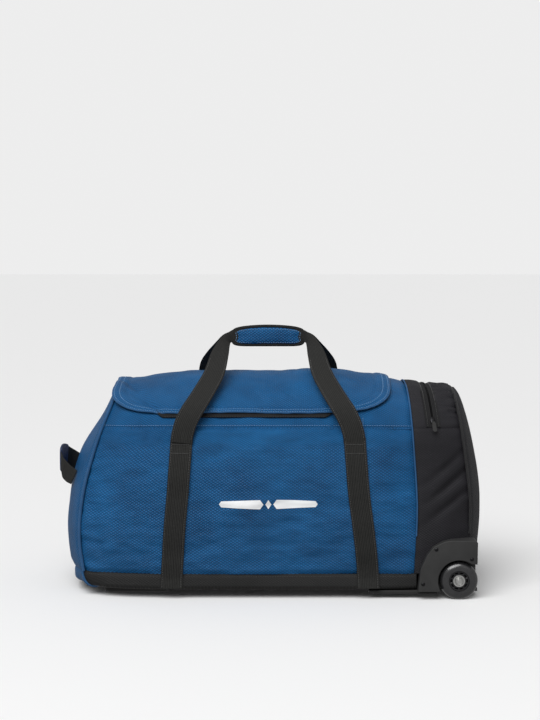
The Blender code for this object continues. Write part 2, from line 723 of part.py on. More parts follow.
def build_trolley():
    for side, face in ((-1, "front"), (1, "back")):
        y = side * TUBE_Y
        outer = tube(-0.3365, 0.2450, y, 0.0220, 0.0160, 0.0012)
        add(f"trolley_outer_tube_{face}", *outer, ALUMINIUM, roughness=0.35, metallic=1.0)
        middle = tube(-0.3445, 0.1950, y, 0.0190, 0.0130, 0.0012)
        add(f"trolley_middle_tube_{face}", *middle, ALUMINIUM, roughness=0.3, metallic=1.0)
        inner = tube(-0.3465, 0.1600, y, 0.0160, 0.0100, 0.0012)
        add(f"trolley_inner_tube_{face}", *inner, ALUMINIUM, roughness=0.3, metallic=1.0)
    foot = rounded_box(0.2454, 0.2574, -0.068, 0.068, 0.0230, 0.0480, 0.003)
    add("trolley_foot_block", *foot, BLACK_PLASTIC, roughness=0.6)
    bezel = box(BEZEL_X, -0.3370, -0.0750, 0.0750, 0.0203, 0.0517)
    bezel = add("trolley_bezel", *bezel, BLACK_PLASTIC, roughness=0.5)
    pocket = box(BEZEL_X - 0.01, -0.3455, -0.0690, 0.0690, 0.0240, 0.0480)
    boolean(bezel, cutter("bezel_pocket_cutter", pocket))
    for side, face in ((-1, "front"), (1, "back")):
        y = side * TUBE_Y
        hole = box(-0.36, -0.33, y - 0.0098, y + 0.0098, TUBE_Z - 0.0068, TUBE_Z + 0.0068)
        boolean(bezel, cutter(f"bezel_hole_cutter_{face}", hole))
    grip = rounded_box(-0.3658, -0.3470, -0.0670, 0.0670, 0.0260, 0.0460, 0.005)
    grip = add("trolley_grip", *grip, BLACK_PLASTIC, roughness=0.6)
    boolean(grip, cutter("button_pocket_cutter", box(-0.37, -0.3590, -0.0135, 0.0135, 0.0295, 0.0425)))
    button = box(-0.3663, -0.3623, -0.0131, 0.0131, 0.0299, 0.0421)
    add("release_button", *button, BLACK_PLASTIC, roughness=0.4)


def main():
    clear_scene()
    bays = [
        cutter(f"wheel_bay_cutter_{face}", box(0.2700, 0.43, *sorted((side * 0.1476, side * 0.23)), -0.02, 0.1108))
        for side, face in ((-1, "front"), (1, "back"))
    ]
    trolley_hole = cutter("trolley_hole_cutter", box(-0.45, -0.30, -0.0755, 0.0755, 0.0200, 0.0522))
    base = build_base()
    boolean(base, trolley_hole)
    for bay in bays:
        boolean(base, bay)
    build_side_panels()
    build_yoke()
    build_ends(bays, trolley_hole)
    build_lining_boards()
    hinge = skin(0.42, FLAP[3], FLAP_LIFT + FLAP_THICK / 2)
    build_lid(hinge)
    build_main_zip()
    build_end_zip_pull()
    build_sewn_straps()
    build_handles()
    build_end_loop((-0.3705, 0, 0.2130))
    for side, face in ((-1, "front"), (1, "back")):
        build_housing(side, face)
        build_wheel(side, face)
    build_tray()
    build_feet()
    build_trolley()


main()
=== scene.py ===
"""Looks of the rolling duffel bag, over its CAD frame. Metres, +X to the wheeled end, -Y to the front."""

import json
import math

import bmesh
import bpy
import numpy as np
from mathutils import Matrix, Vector, noise

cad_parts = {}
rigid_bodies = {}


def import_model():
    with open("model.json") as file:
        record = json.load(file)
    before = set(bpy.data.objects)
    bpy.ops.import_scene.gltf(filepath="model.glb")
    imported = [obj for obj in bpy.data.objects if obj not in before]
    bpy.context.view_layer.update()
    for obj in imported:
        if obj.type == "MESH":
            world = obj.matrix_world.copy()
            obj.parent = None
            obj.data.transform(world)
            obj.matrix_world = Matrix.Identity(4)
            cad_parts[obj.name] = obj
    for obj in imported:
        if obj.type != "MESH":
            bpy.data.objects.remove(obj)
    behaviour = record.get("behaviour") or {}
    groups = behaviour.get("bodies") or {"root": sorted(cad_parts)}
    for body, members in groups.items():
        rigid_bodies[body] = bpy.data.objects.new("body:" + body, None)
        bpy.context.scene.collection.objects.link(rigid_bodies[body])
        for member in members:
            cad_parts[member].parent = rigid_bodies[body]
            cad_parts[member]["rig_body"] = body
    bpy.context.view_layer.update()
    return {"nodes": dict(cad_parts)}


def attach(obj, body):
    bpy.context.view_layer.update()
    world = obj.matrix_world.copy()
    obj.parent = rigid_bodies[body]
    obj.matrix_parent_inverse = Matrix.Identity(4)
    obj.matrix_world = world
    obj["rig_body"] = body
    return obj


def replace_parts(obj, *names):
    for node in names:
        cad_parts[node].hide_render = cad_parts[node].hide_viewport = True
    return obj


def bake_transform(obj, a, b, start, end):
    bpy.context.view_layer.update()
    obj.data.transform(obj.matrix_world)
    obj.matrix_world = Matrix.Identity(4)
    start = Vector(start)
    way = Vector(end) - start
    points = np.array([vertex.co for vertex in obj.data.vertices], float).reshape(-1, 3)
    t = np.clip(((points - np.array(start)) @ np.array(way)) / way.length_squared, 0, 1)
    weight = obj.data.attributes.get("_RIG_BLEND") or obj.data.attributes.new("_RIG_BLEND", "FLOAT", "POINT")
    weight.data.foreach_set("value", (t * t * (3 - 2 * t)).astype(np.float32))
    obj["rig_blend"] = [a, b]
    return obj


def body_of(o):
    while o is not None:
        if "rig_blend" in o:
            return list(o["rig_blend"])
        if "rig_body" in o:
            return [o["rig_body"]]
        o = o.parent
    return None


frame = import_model()

# The skin's driving sizes, as in the CAD. A point of the skin is given by u and p.
# u runs 0 to 1 from the left rim to the right one.
# p runs 0 to 1 from the front base to the crest, and on to 2 at the back base.
BASE_UNDER = 0.0155
BAND_TOP = 0.0460
WALL_TOP = 0.285
HALF_DEPTH = 0.180
CORNER_INSET = 0.035
WALL_SHARE = 0.62
SHOULDER_RISE = 0.050
CREST_REACH = 0.120
CREST = ((-0.290, 0.378), (-0.240, 0.389), (-0.170, 0.399), (0.170, 0.399), (0.222, 0.393), (0.350, 0.374))
LEFT_RIM = ((0.012, -0.340), (0.110, -0.355), (0.200, -0.345), (0.300, -0.315), (0.375, -0.285))
RIGHT_RIM = ((0.012, 0.362), (0.150, 0.371), (0.200, 0.368), (0.315, 0.352), (0.370, 0.345))
LEFT_BULGE = 0.032
RIGHT_BULGE = 0.028
BODY_SEAM = 0.8600
FRONT_SEAM = 0.6960
BAND_SEAM = 0.0702
FLAP = (-0.002, 0.807, 0.753, 1.180)
MOUTH = (0.030, 0.775, 0.772, 1.165)
END_ZIP = (0.8985, 0.9415, 0.700)
FLAP_LIFT = 0.0045
WEBBING = 0.0020
WHEEL = (0.3463, 0.1730, 0.0350)
HANDLE_X = -0.0035
GRIP_Z = 0.4735
LOOP_PIVOT = (-0.3705, 0.0, 0.2130)
ARCH = ((0.0155, 0.0576, 0.0826, 0.0984, 0.1077, 0.1100), (0.2735, 0.2780, 0.2900, 0.3030, 0.3215, 0.3340))
FRONT, BACK = -1, 1
FACES = {FRONT: "front", BACK: "back"}

# The flat fabric: metres along it for each unit of u, and for each unit of p on the wall and on the top
CLOTH_ALONG, CLOTH_WALL, CLOTH_TOP = 0.665, 0.435, 0.62
CLOTH_AROUND = 1.01
BODY_LENGTH, END_LENGTH = 0.572, 0.0925
BAND_RISE, FRONT_RISE, BACK_RISE = 0.0310, 0.3171, 0.6929
FABRIC = 0.003
TROLLEY_BAY = (0.0755, 0.0522)
SIDE_SEEDS = {FRONT: 3, BACK: 23}


# Shape of the skin, for arrays of u and p


def turns(count):
    return np.linspace(0, 2 * math.pi, count, endpoint=False)


def points_of(*coordinates):
    return np.stack(np.broadcast_arrays(*coordinates), axis=-1)


def run_length(path):
    """Distance along a path to each of its points."""
    return np.concatenate([[0], np.cumsum(np.linalg.norm(np.diff(path, axis=0), axis=1))])


def table(rows, at):
    """A value read off a short table, smoothed over its corners."""
    xs, ys = [row[0] for row in rows], [row[1] for row in rows]
    reach = 0.035
    return sum(np.interp(at + reach * k / 4, xs, ys) for k in range(-4, 5)) / 9


def half_depth(u):
    return HALF_DEPTH - CORNER_INSET * np.abs(2 * u - 1) ** 6


def wall_bow(z):
    return 1 - 0.04 * (np.maximum(WALL_TOP - z, 0) / (WALL_TOP - BASE_UNDER)) ** 3


def profile(depth, crest, q):
    """Half of a cross-section: a bowed wall, then a Bezier curve from the wall's top to the crest."""
    wall = q <= WALL_SHARE
    z_wall = BASE_UNDER + (WALL_TOP - BASE_UNDER) * q / WALL_SHARE
    t = np.clip((q - WALL_SHARE) / (1 - WALL_SHARE), 0, 1)
    a, b, c, d = (1 - t) ** 3, 3 * (1 - t) ** 2 * t, 3 * (1 - t) * t * t, t**3
    y_top = depth * (a + b) + CREST_REACH * depth / HALF_DEPTH * c
    z_top = WALL_TOP * a + (WALL_TOP + SHOULDER_RISE) * b + crest * (c + d)
    return np.where(wall, depth * wall_bow(z_wall), y_top), np.where(wall, z_wall, z_top)


def skin_point(u, p):
    q = np.where(p <= 1, p, 2 - p)
    x = -0.3 + 0.65 * u
    for _ in range(4):
        y, z = profile(half_depth(u), table(CREST, x), q)
        x = table(LEFT_RIM, z) * (1 - u) + table(RIGHT_RIM, z) * u
    return points_of(x, np.where(p <= 1, -y, y), z)


def unit(vectors):
    return vectors / np.maximum(np.linalg.norm(vectors, axis=-1, keepdims=True), 1e-12)


def skin(u, p, lift=0.0):
    """Points of the skin, lifted off it along its normal."""
    u, p = np.asarray(u, float), np.asarray(p, float)
    step = 0.004
    along = skin_point(u + step, p) - skin_point(u - step, p)
    up = skin_point(u, np.minimum(p + step, 2)) - skin_point(u, np.maximum(p - step, 0))
    return skin_point(u, p) + np.asarray(lift)[..., None] * unit(np.cross(along, up))


def outward(u, p):
    return skin(u, p, 0.01) - skin(u, p, 0.0)


def share_at_height(z):
    return WALL_SHARE * (z - BASE_UNDER) / (WALL_TOP - BASE_UNDER)


def share_at_x(x, z):
    left, right = table(LEFT_RIM, z), table(RIGHT_RIM, z)
    return (x - left) / (right - left)


def cloth_place(u, p):
    """Where a point of the skin lies on the flat fabric, in metres."""
    q = np.where(p <= 1, p, 2 - p)
    rise = np.where(q < WALL_SHARE, CLOTH_WALL * q, 0.27 + CLOTH_TOP * (q - WALL_SHARE))
    return points_of(u * CLOTH_ALONG, np.where(p <= 1, rise, CLOTH_AROUND - rise))


def rim_crest(side):
    return table(CREST, -0.285 if side < 0 else 0.345)


def rim_depth(side, z):
    depth = HALF_DEPTH - CORNER_INSET
    y, height = profile(np.full(60, depth), rim_crest(side), np.linspace(WALL_SHARE, 1, 60))
    return np.where(z <= WALL_TOP, depth * wall_bow(z), np.interp(z, height, y))


def end_x(side, y, z):
    """How far out an end face stands, bulged towards its middle."""
    rim, bulge = (LEFT_RIM, LEFT_BULGE) if side < 0 else (RIGHT_RIM, RIGHT_BULGE)
    across = np.minimum(np.abs(y) / np.maximum(rim_depth(side, z), 1e-4), 1)
    high = np.maximum(z - 0.20, 0) / 0.18
    bow = bulge * (1 - across**2) * np.sqrt(np.maximum(1 - high**2, 0))
    return table(rim, z) + side * (bow + 0.0045)


def rough(a, b, scale, seed, octaves=2):
    """Smooth repeatable noise in about -1..1 over two arrays of metres; scale is waves per metre."""
    flat = zip(np.ravel(a), np.ravel(b))
    found = [noise.fractal(Vector((x * scale, y * scale, seed * 7.31)), 1.0, 2.0, octaves) for x, y in flat]
    return np.array(found).reshape(np.shape(a))


def eased(share):
    share = np.clip(share, 0, 1)
    return share * share * (3 - 2 * share)


def bump_at(value, centre, width):
    return np.exp(-(((value - centre) / width) ** 2))


# Materials


def shader_of(name, colour, roughness, metallic=0.0, gloss=0.5):
    made = bpy.data.materials.new(name)
    made.use_nodes = True
    shader = made.node_tree.nodes["Principled BSDF"]
    shader.inputs["Base Color"].default_value = (*colour, 1)
    shader.inputs["Roughness"].default_value = roughness
    shader.inputs["Metallic"].default_value = metallic
    shader.inputs["Specular IOR Level"].default_value = gloss
    return made, made.node_tree, shader


def node(tree, kind, values=None, **settings):
    made = tree.nodes.new(kind)
    for key, value in settings.items():
        setattr(made, key, value)
    for key, value in (values or {}).items():
        made.inputs[key].default_value = value
    return made


def maths(tree, operation, *values, clamp=False):
    made = node(tree, "ShaderNodeMath", operation=operation, use_clamp=clamp)
    for at, value in enumerate(values):
        if isinstance(value, (int, float)):
            made.inputs[at].default_value = value
        else:
            tree.links.new(value, made.inputs[at])
    return made.outputs[0]


def wave(tree, value, length):
    """A sine that repeats every length metres."""
    return maths(tree, "SINE", maths(tree, "MULTIPLY", value, 2 * math.pi / length))


def mixed(tree, share, first, second):
    made = node(tree, "ShaderNodeMix", data_type="RGBA")
    tree.links.new(share, made.inputs[0])
    for at, value in ((6, first), (7, second)):
        if isinstance(value, tuple):
            made.inputs[at].default_value = (*value, 1)
        else:
            tree.links.new(value, made.inputs[at])
    return made.outputs[2]


def cloth_axes(tree):
    """The flat fabric's two axes, across and along."""
    place = node(tree, "ShaderNodeAttribute", attribute_name="cloth")
    parts = node(tree, "ShaderNodeSeparateXYZ")
    tree.links.new(place.outputs["Vector"], parts.inputs[0])
    return parts.outputs[0], parts.outputs[1]


def object_noise(tree, scale, detail=3.0, roughness=0.55):
    where = node(tree, "ShaderNodeTexCoord")
    made = node(tree, "ShaderNodeTexNoise", {"Scale": scale, "Detail": detail, "Roughness": roughness})
    tree.links.new(where.outputs["Object"], made.inputs["Vector"])
    return made.outputs["Fac"]


def finished(tree, shader, height, strength, distance, colour, roughness=None):
    """Wires a material's relief, colour and roughness to its shader."""
    bump = node(tree, "ShaderNodeBump", {"Strength": strength, "Distance": distance})
    tree.links.new(height, bump.inputs["Height"])
    tree.links.new(bump.outputs[0], shader.inputs["Normal"])
    tree.links.new(colour, shader.inputs["Base Color"])
    if roughness is not None:
        tree.links.new(roughness, shader.inputs["Roughness"])


def ripstop(name, low, high, worn, cell=(0.0062, 0.0046), roughness=0.42, gloss=0.42, relief=0.9):
    """Coated polyester with a small woven diamond: a raised thread grid over a fine plain weave."""
    made, tree, shader = shader_of(name, high, roughness, gloss=gloss)
    x, y = cloth_axes(tree)
    a, b = (maths(tree, "MULTIPLY", axis, math.pi / size) for axis, size in zip((x, y), cell))
    slants = (maths(tree, way, a, b) for way in ("ADD", "SUBTRACT"))
    one, two = (maths(tree, "ABSOLUTE", maths(tree, "SINE", slant)) for slant in slants)
    diamond = maths(tree, "POWER", maths(tree, "MINIMUM", one, two), 0.6)
    thread = 0.0009
    weave = maths(tree, "MULTIPLY", maths(tree, "MULTIPLY", wave(tree, x, thread), wave(tree, y, thread)), 0.12)
    # The diamond sets the colour as well as the relief: darker where the relief is low, lighter where it is high.
    # That is the weave's pattern, with painted shade in its grooves.
    weave_tone_and_groove_shade = maths(tree, "MULTIPLY_ADD", diamond, 0.85, 0.05)
    blotch = maths(tree, "MULTIPLY_ADD", object_noise(tree, 14, 4), 0.8, -0.40)
    colour = mixed(tree, maths(tree, "ADD", weave_tone_and_groove_shade, blotch, clamp=True), low, high)
    rub = maths(tree, "GREATER_THAN", object_noise(tree, 160, 5, 0.7), 0.66)
    colour = mixed(tree, maths(tree, "MULTIPLY", rub, 0.25), colour, worn)
    smoother = maths(tree, "MULTIPLY_ADD", diamond, -0.14, roughness + 0.10)
    finished(tree, shader, maths(tree, "ADD", diamond, weave), relief, 0.0010, colour, smoother)
    return made


def webbing_material(name, dark, light, roughness=0.72):
    """Woven tape: herringbone ribs that run along it."""
    made, tree, shader = shader_of(name, light, roughness, gloss=0.16)
    x, y = cloth_axes(tree)
    rib_width, pick_length = 0.0031, 0.0021
    rib = maths(tree, "ABSOLUTE", wave(tree, x, 2 * rib_width))
    pick = wave(tree, maths(tree, "ADD", y, maths(tree, "PINGPONG", x, rib_width)), pick_length)
    height = maths(tree, "ADD", rib, maths(tree, "MULTIPLY", pick, 0.35))
    share = maths(tree, "MULTIPLY_ADD", height, 0.6, 0.0, clamp=True)
    fuzz = maths(tree, "SUBTRACT", maths(tree, "MULTIPLY", object_noise(tree, 240, 4, 0.7), 0.5), 0.25)
    # Lighter on the ribs and darker between them: the tape's weave, with painted shade in its grooves, and random
    # fuzz.
    colour = mixed(tree, maths(tree, "ADD", share, fuzz, clamp=True), dark, light)
    finished(tree, shader, height, 0.7, 0.0006, colour)
    return made


def plastic_material(name, dark, light, roughness, grain=900, strength=0.25):
    made, tree, shader = shader_of(name, light, roughness, gloss=0.45)
    fine, broad = object_noise(tree, grain, 3, 0.6), object_noise(tree, 30, 4, 0.6)
    share = maths(tree, "MULTIPLY_ADD", broad, 0.2, roughness - 0.1)
    finished(tree, shader, fine, strength, 0.0003, mixed(tree, broad, dark, light), share)
    return made


def tyre_material():
    made, tree, shader = shader_of("tyre_urethane", (0.010, 0.010, 0.011), 0.22)
    shader.inputs["Coat Weight"].default_value = 0.8
    shader.inputs["Coat Roughness"].default_value = 0.12
    dust = object_noise(tree, 90, 5, 0.65)
    colour = mixed(tree, dust, (0.008, 0.008, 0.009), (0.034, 0.034, 0.036))
    finished(tree, shader, dust, 0.08, 0.0003, colour, maths(tree, "MULTIPLY_ADD", dust, 0.35, 0.08))
    return made


def metal_material(name, colour, roughness):
    """Metal brushed along X."""
    made, tree, shader = shader_of(name, colour, roughness, 1.0)
    where = node(tree, "ShaderNodeTexCoord")
    stretch = node(tree, "ShaderNodeMapping", {"Scale": (0.06, 1.0, 1.0)})
    tree.links.new(where.outputs["Object"], stretch.inputs[0])
    brushed = node(tree, "ShaderNodeTexNoise", {"Scale": 1040, "Detail": 3.0})
    tree.links.new(stretch.outputs[0], brushed.inputs["Vector"])
    streak = brushed.outputs["Fac"]
    dark = tuple(0.72 * part for part in colour)
    share = maths(tree, "MULTIPLY_ADD", streak, 0.22, roughness - 0.08)
    finished(tree, shader, streak, 0.10, 0.0002, mixed(tree, streak, dark, colour), share)
    return made


def thread_material(name, colour):
    made, tree, shader = shader_of(name, colour, 0.55)
    shader.inputs["Sheen Weight"].default_value = 0.4
    twist = object_noise(tree, 1500, 2, 0.5)
    dark = tuple(0.6 * part for part in colour)
    finished(tree, shader, twist, 0.4, 0.0002, mixed(tree, twist, dark, colour))
    return made


def grey(value, blue=0.0):
    return value, value, value + blue


MATT = {"roughness": 0.55, "gloss": 0.22, "relief": 0.6}
FINE = (0.003, 0.003)
M = {
    "blue": ripstop(
        "blue_ripstop",
        (0.0004, 0.021, 0.072),
        (0.007, 0.136, 0.362),
        (0.02, 0.18, 0.42),
        (0.0072, 0.0052),
        gloss=0.27,
    ),
    "black": ripstop("black_ripstop", grey(0.007, 0.001), (0.024, 0.023, 0.028), grey(0.05, 0.01), **MATT),
    "base": ripstop("black_base_fabric", grey(0.009), grey(0.026), grey(0.06), **MATT),
    # The end loop's sleeve gets a darker blue than the body fabric: painted shade.
    "navy": ripstop("blue_sleeve_fabric_painted_shade", (0.010, 0.022, 0.075), (0.020, 0.045, 0.140), (0.05, 0.09, 0.2)),
    "piping": ripstop(
        "blue_piping_fabric", (0.010, 0.070, 0.190), (0.028, 0.140, 0.340), (0.08, 0.22, 0.45), FINE
    ),
    "black_piping": ripstop("black_piping_fabric", grey(0.008, 0.001), grey(0.022, 0.002), grey(0.1), FINE),
    "webbing": webbing_material("black_webbing", grey(0.008), grey(0.047, -0.003)),
    "binding": webbing_material("black_binding", grey(0.008), grey(0.028, -0.001)),
    "tape": webbing_material("zip_tape", grey(0.008, 0.001), grey(0.028, 0.001)),
    "plastic": plastic_material("moulded_black_plastic", grey(0.018), grey(0.038), 0.52),
    "hub": plastic_material("glossy_black_plastic", grey(0.012, 0.001), grey(0.026, 0.002), 0.30, 1200, 0.1),
    "grip": plastic_material("rubbery_black_plastic", grey(0.011), grey(0.024), 0.68, 1400, 0.5),
    "board": plastic_material("base_board", (0.07, 0.06, 0.05), (0.13, 0.12, 0.10), 0.8, 500, 0.4),
    "tyre": tyre_material(),
    "steel": metal_material("satin_steel", (0.78, 0.78, 0.76), 0.30),
    "zip_metal": metal_material("black_zip_metal", grey(0.035, 0.002), 0.38),
    "aluminium": metal_material("anodised_aluminium", (0.58, 0.59, 0.61), 0.32),
    "blue_thread": thread_material("blue_thread", (0.16, 0.34, 0.60)),
    "black_thread": thread_material("black_thread", grey(0.022)),
    "mark": plastic_material("white_print", (0.84, 0.85, 0.86), (0.93, 0.94, 0.95), 0.60, 900, 0.2),
}


# Mesh builders


def make(name, points, faces, material, body, cloth=None):
    """An object from points and faces. It rides on a body, unless body is None, and cloth places its weave."""
    mesh = bpy.data.meshes.new(name)
    mesh.from_pydata([tuple(point) for point in points], [], faces)
    work = bmesh.new()
    work.from_mesh(mesh)
    bmesh.ops.recalc_face_normals(work, faces=work.faces)
    work.to_mesh(mesh)
    work.free()
    mesh.shade_smooth()
    mesh.set_sharp_from_angle(angle=math.radians(50))
    layer = mesh.attributes.new("cloth", "FLOAT_VECTOR", "POINT")
    flat = np.zeros((len(points), 3))
    if cloth is not None:
        flat[:, :2] = np.asarray(cloth).reshape(-1, 2)
    layer.data.foreach_set("vector", flat.ravel())
    obj = bpy.data.objects.new(name, mesh)
    bpy.context.scene.collection.objects.link(obj)
    mesh.materials.append(M[material])
    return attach(obj, body) if body else obj


def shell(name, outer, inner, cloth, material, body, closed=False, keep=None):
    """A thin closed body between two equal grids of points. `closed` joins the last column to the first."""
    rows, columns = outer.shape[:2]
    points = np.concatenate([outer.reshape(-1, 3), inner.reshape(-1, 3)])
    layer = rows * columns
    faces, edges = [], {}
    for i in range(rows - 1):
        for j in range(columns if closed else columns - 1):
            if keep is not None and not keep[i, j]:
                continue
            k = (j + 1) % columns
            corners = [i * columns + j, (i + 1) * columns + j, (i + 1) * columns + k, i * columns + k]
            faces.append(tuple(corners))
            faces.append(tuple(corner + layer for corner in reversed(corners)))
            for a, b in zip(corners, corners[1:] + corners[:1]):
                if edges.pop((b, a), None) is None:
                    edges[(a, b)] = True
    faces += [(b, a, a + layer, b + layer) for a, b in edges]
    used = np.unique([index for face in faces for index in face])
    new = np.full(len(points), -1)
    new[used] = np.arange(len(used))
    faces = [tuple(int(new[index]) for index in face) for face in faces]
    both = np.concatenate([cloth.reshape(-1, 2), cloth.reshape(-1, 2)])
    return make(name, points[used], faces, material, body, both[used])


def skin_shell(name, u, p, lift, thick, material, body, **more):
    """A shell that follows the skin, with its outer face lifted off it."""
    return shell(name, skin(u, p, lift), skin(u, p, lift - thick), cloth_place(u, p), material, body, **more)


def cell_middles(values, closed=False):
    """Mean of each grid cell's four corners."""
    if closed:
        values = np.concatenate([values, values[:, :1]], axis=1)
    return (values[:-1, :-1] + values[1:, :-1] + values[:-1, 1:] + values[1:, 1:]) / 4


def ring_faces(rings, sides, first=0, closed=False):
    """Faces along rings of points, numbered from first, with a cap on each end unless the rings close."""
    faces = []
    for i in range(rings if closed else rings - 1):
        a, b = first + i * sides, first + (i + 1) % rings * sides
        for j in range(sides):
            k = (j + 1) % sides
            faces.append((a + j, a + k, b + k, b + j))
    if not closed:
        last = first + (rings - 1) * sides
        faces += [tuple(range(first, first + sides)), tuple(range(last, last + sides))]
    return faces


def tube(name, path, radius, material, body, closed=False, sides=8, flat=1.0, normals=None):
    """A round or flattened cord of fabric along a path."""
    path = np.asarray(path, float)
    along = unit(np.roll(path, -1, 0) - np.roll(path, 1, 0) if closed else np.gradient(path, axis=0))
    up = np.broadcast_to(np.array([0.0, 0.0, 1.0]), path.shape) if normals is None else unit(normals)
    side = unit(np.cross(along, up + 1e-6))
    up = unit(np.cross(side, along))
    angles = turns(sides)
    c, s = np.cos(angles)[None, :, None], np.sin(angles)[None, :, None]
    round_it = c * side[:, None] + flat * s * up[:, None]
    rings = path[:, None] + radius * round_it
    cloth = points_of(angles[None, :] * radius, run_length(path)[:, None])
    return make(name, rings.reshape(-1, 3), ring_faces(len(path), sides, 0, closed), material, body, cloth)


def stitches(name, path, out, material, body, long=0.0030, gap=0.0014, radius=0.00045, closed=False):
    """A row of raised stitches along a path of points with outward directions."""
    path, out = np.asarray(path, float), unit(np.asarray(out, float))
    if closed:
        path, out = np.concatenate([path, path[:1]]), np.concatenate([out, out[:1]])
    length = run_length(path)
    points, faces = [], []

    def at(distance, values=path):
        return np.array([np.interp(distance, length, values[:, k]) for k in range(3)])

    for start in np.arange(gap, length[-1] - long, long + gap):
        faces += ring_faces(4, 4, len(points))
        for share, size in ((0.0, 0.45), (0.2, 1.0), (0.8, 1.0), (1.0, 0.45)):
            normal = unit(at(start + share * long, out))
            ahead = at(start + min(share + 0.1, 1.0) * long)
            behind = at(start + max(share - 0.1, 0.0) * long)
            side = unit(np.cross(ahead - behind, normal))
            middle = at(start + share * long) + normal * (-0.4 if size < 1 else 0.35) * radius
            for a, b in ((-1, -0.3), (1, -0.3), (0.6, 0.8), (-0.6, 0.8)):
                points.append(middle + (normal * b + side * a) * radius * size)
    return make(name, points, faces, material, body)


def skin_stitches(name, u, p, lift, material, body, **more):
    return stitches(name, skin(u, p, lift), outward(u, p), material, body, **more)


def refined(node_name, name, material, width, segments=3):
    """A CAD solid drawn again with rounded edges."""
    source = frame["nodes"][node_name]
    mesh = source.data.copy()
    mesh.name = name
    obj = bpy.data.objects.new(name, mesh)
    obj.matrix_world = source.matrix_world
    bpy.context.scene.collection.objects.link(obj)
    work = bmesh.new()
    work.from_mesh(mesh)
    bmesh.ops.remove_doubles(work, verts=work.verts, dist=0.00002)
    bmesh.ops.dissolve_limit(work, angle_limit=math.radians(1.0), verts=work.verts, edges=work.edges)
    work.to_mesh(mesh)
    work.free()
    bevel = obj.modifiers.new("rounded", "BEVEL")
    bevel.width = width
    bevel.segments = segments
    bevel.limit_method = "ANGLE"
    bevel.angle_limit = math.radians(30)
    bevel.harden_normals = False
    mesh.shade_smooth()
    mesh.set_sharp_from_angle(angle=math.radians(40))
    mesh.materials.clear()
    mesh.materials.append(M[material])
    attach(obj, body_of(source)[0])
    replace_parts(obj, node_name)


# Fabric body


def seam_dip(distance, deep=0.0030, reach=0.0055):
    """Fabric pulled in along a seam."""
    return -deep * np.exp(-((np.maximum(distance, 0) / reach) ** 1.5))


def puckers(along, distance, seed, tall=0.0012, reach=0.022):
    """Short gathers that run away from a seam."""
    return tall * rough(along, distance * 0.25, 75, seed) * np.exp(-np.maximum(distance, 0) / reach)


def wall_lift(u, place, seed):
    """Height of a side panel over the plain skin."""
    along, rise = place[..., 0], place[..., 1]
    from_seam, from_base, from_colour_seam = FRONT_RISE - rise, rise - BAND_RISE, BODY_LENGTH - along
    height = np.clip((rise - 0.03) / 0.287, 0, 1)
    crown = 0.0135 * np.sin(height**1.35 * math.pi) * (0.82 + 0.18 * np.cos(7 * math.pi * (u - 0.43)))
    lift = crown * eased(along / 0.09) * eased(from_colour_seam / 0.07)
    lift = lift + seam_dip(from_seam) + seam_dip(from_base) + puckers(along, from_seam, seed)
    lift = lift + seam_dip(along, 0.0025) + seam_dip(from_colour_seam, 0.0025)
    for where, distance, extra, tall, reach in (
        (along, from_base, 1, 0.0008, 0.014),
        (rise, from_colour_seam, 2, 0.0009, 0.02),
        (rise, along, 3, 0.0016, 0.03),
    ):
        lift = lift + puckers(where, distance, seed + extra, tall, reach)
    loose = puckers(along * 0.6 + 0.1 * rise, from_seam, seed + 8, 0.0050, 0.050)
    loose = loose + 0.0052 * rough(along, rise, 7, seed + 4) + 0.0022 * rough(along, rise * 2.2, 22, seed + 5)
    lift = lift + loose * (0.15 + 0.85 * eased(np.minimum(from_seam, along) / 0.014))
    left_fold = bump_at(along + 0.25 * rise, 0.055, 0.012) * bump_at(rise, 0.11, 0.09)
    corner = rough(rise, along * 0.22, 48, seed + 9) * np.exp(-along / 0.06) * bump_at(rise, 0.115, 0.075)
    left_gather = rough(along * 0.25, rise, 60, seed + 6) * np.exp(-along / 0.035)
    return lift + 0.0058 * corner * eased(along / 0.012) - 0.0028 * left_fold + 0.0016 * left_gather


def side_panel(side):
    us, ps = np.linspace(0, BODY_SEAM, 190), np.linspace(BAND_SEAM, FRONT_SEAM, 84)
    u, p = np.meshgrid(us, ps, indexing="ij")
    place = cloth_place(u, p)
    lift = wall_lift(u, place, SIDE_SEEDS[side])
    at = p if side < 0 else 2 - p
    outer, inner = skin(u, at, lift), skin(u, at, lift - FABRIC)
    made = shell(f"{FACES[side]}_body_fabric", outer, inner, place, "blue", "bag")
    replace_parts(made, f"{FACES[side]}_panel")


def share_loop(bounds, power, count):
    """A rounded rectangle in u and p, as two arrays. With no power its corners are square."""
    u0, u1, p0, p1 = bounds
    c, s = np.cos(turns(count)), np.sin(turns(count))
    if power:
        r = (np.abs(c) ** power + np.abs(s) ** power) ** (-1 / power)
    else:
        r = 1 / np.maximum(np.abs(c), np.abs(s))
    return (u0 + u1) / 2 + (u1 - u0) / 2 * r * c, (p0 + p1) / 2 + (p1 - p0) / 2 * r * s


def between(outer, inner, rings):
    """Rings of points from one loop to another, and the share of the way of each."""
    share = np.linspace(0, 1, rings)[:, None]
    return outer[0] + (inner[0] - outer[0]) * share, outer[1] + (inner[1] - outer[1]) * share, share


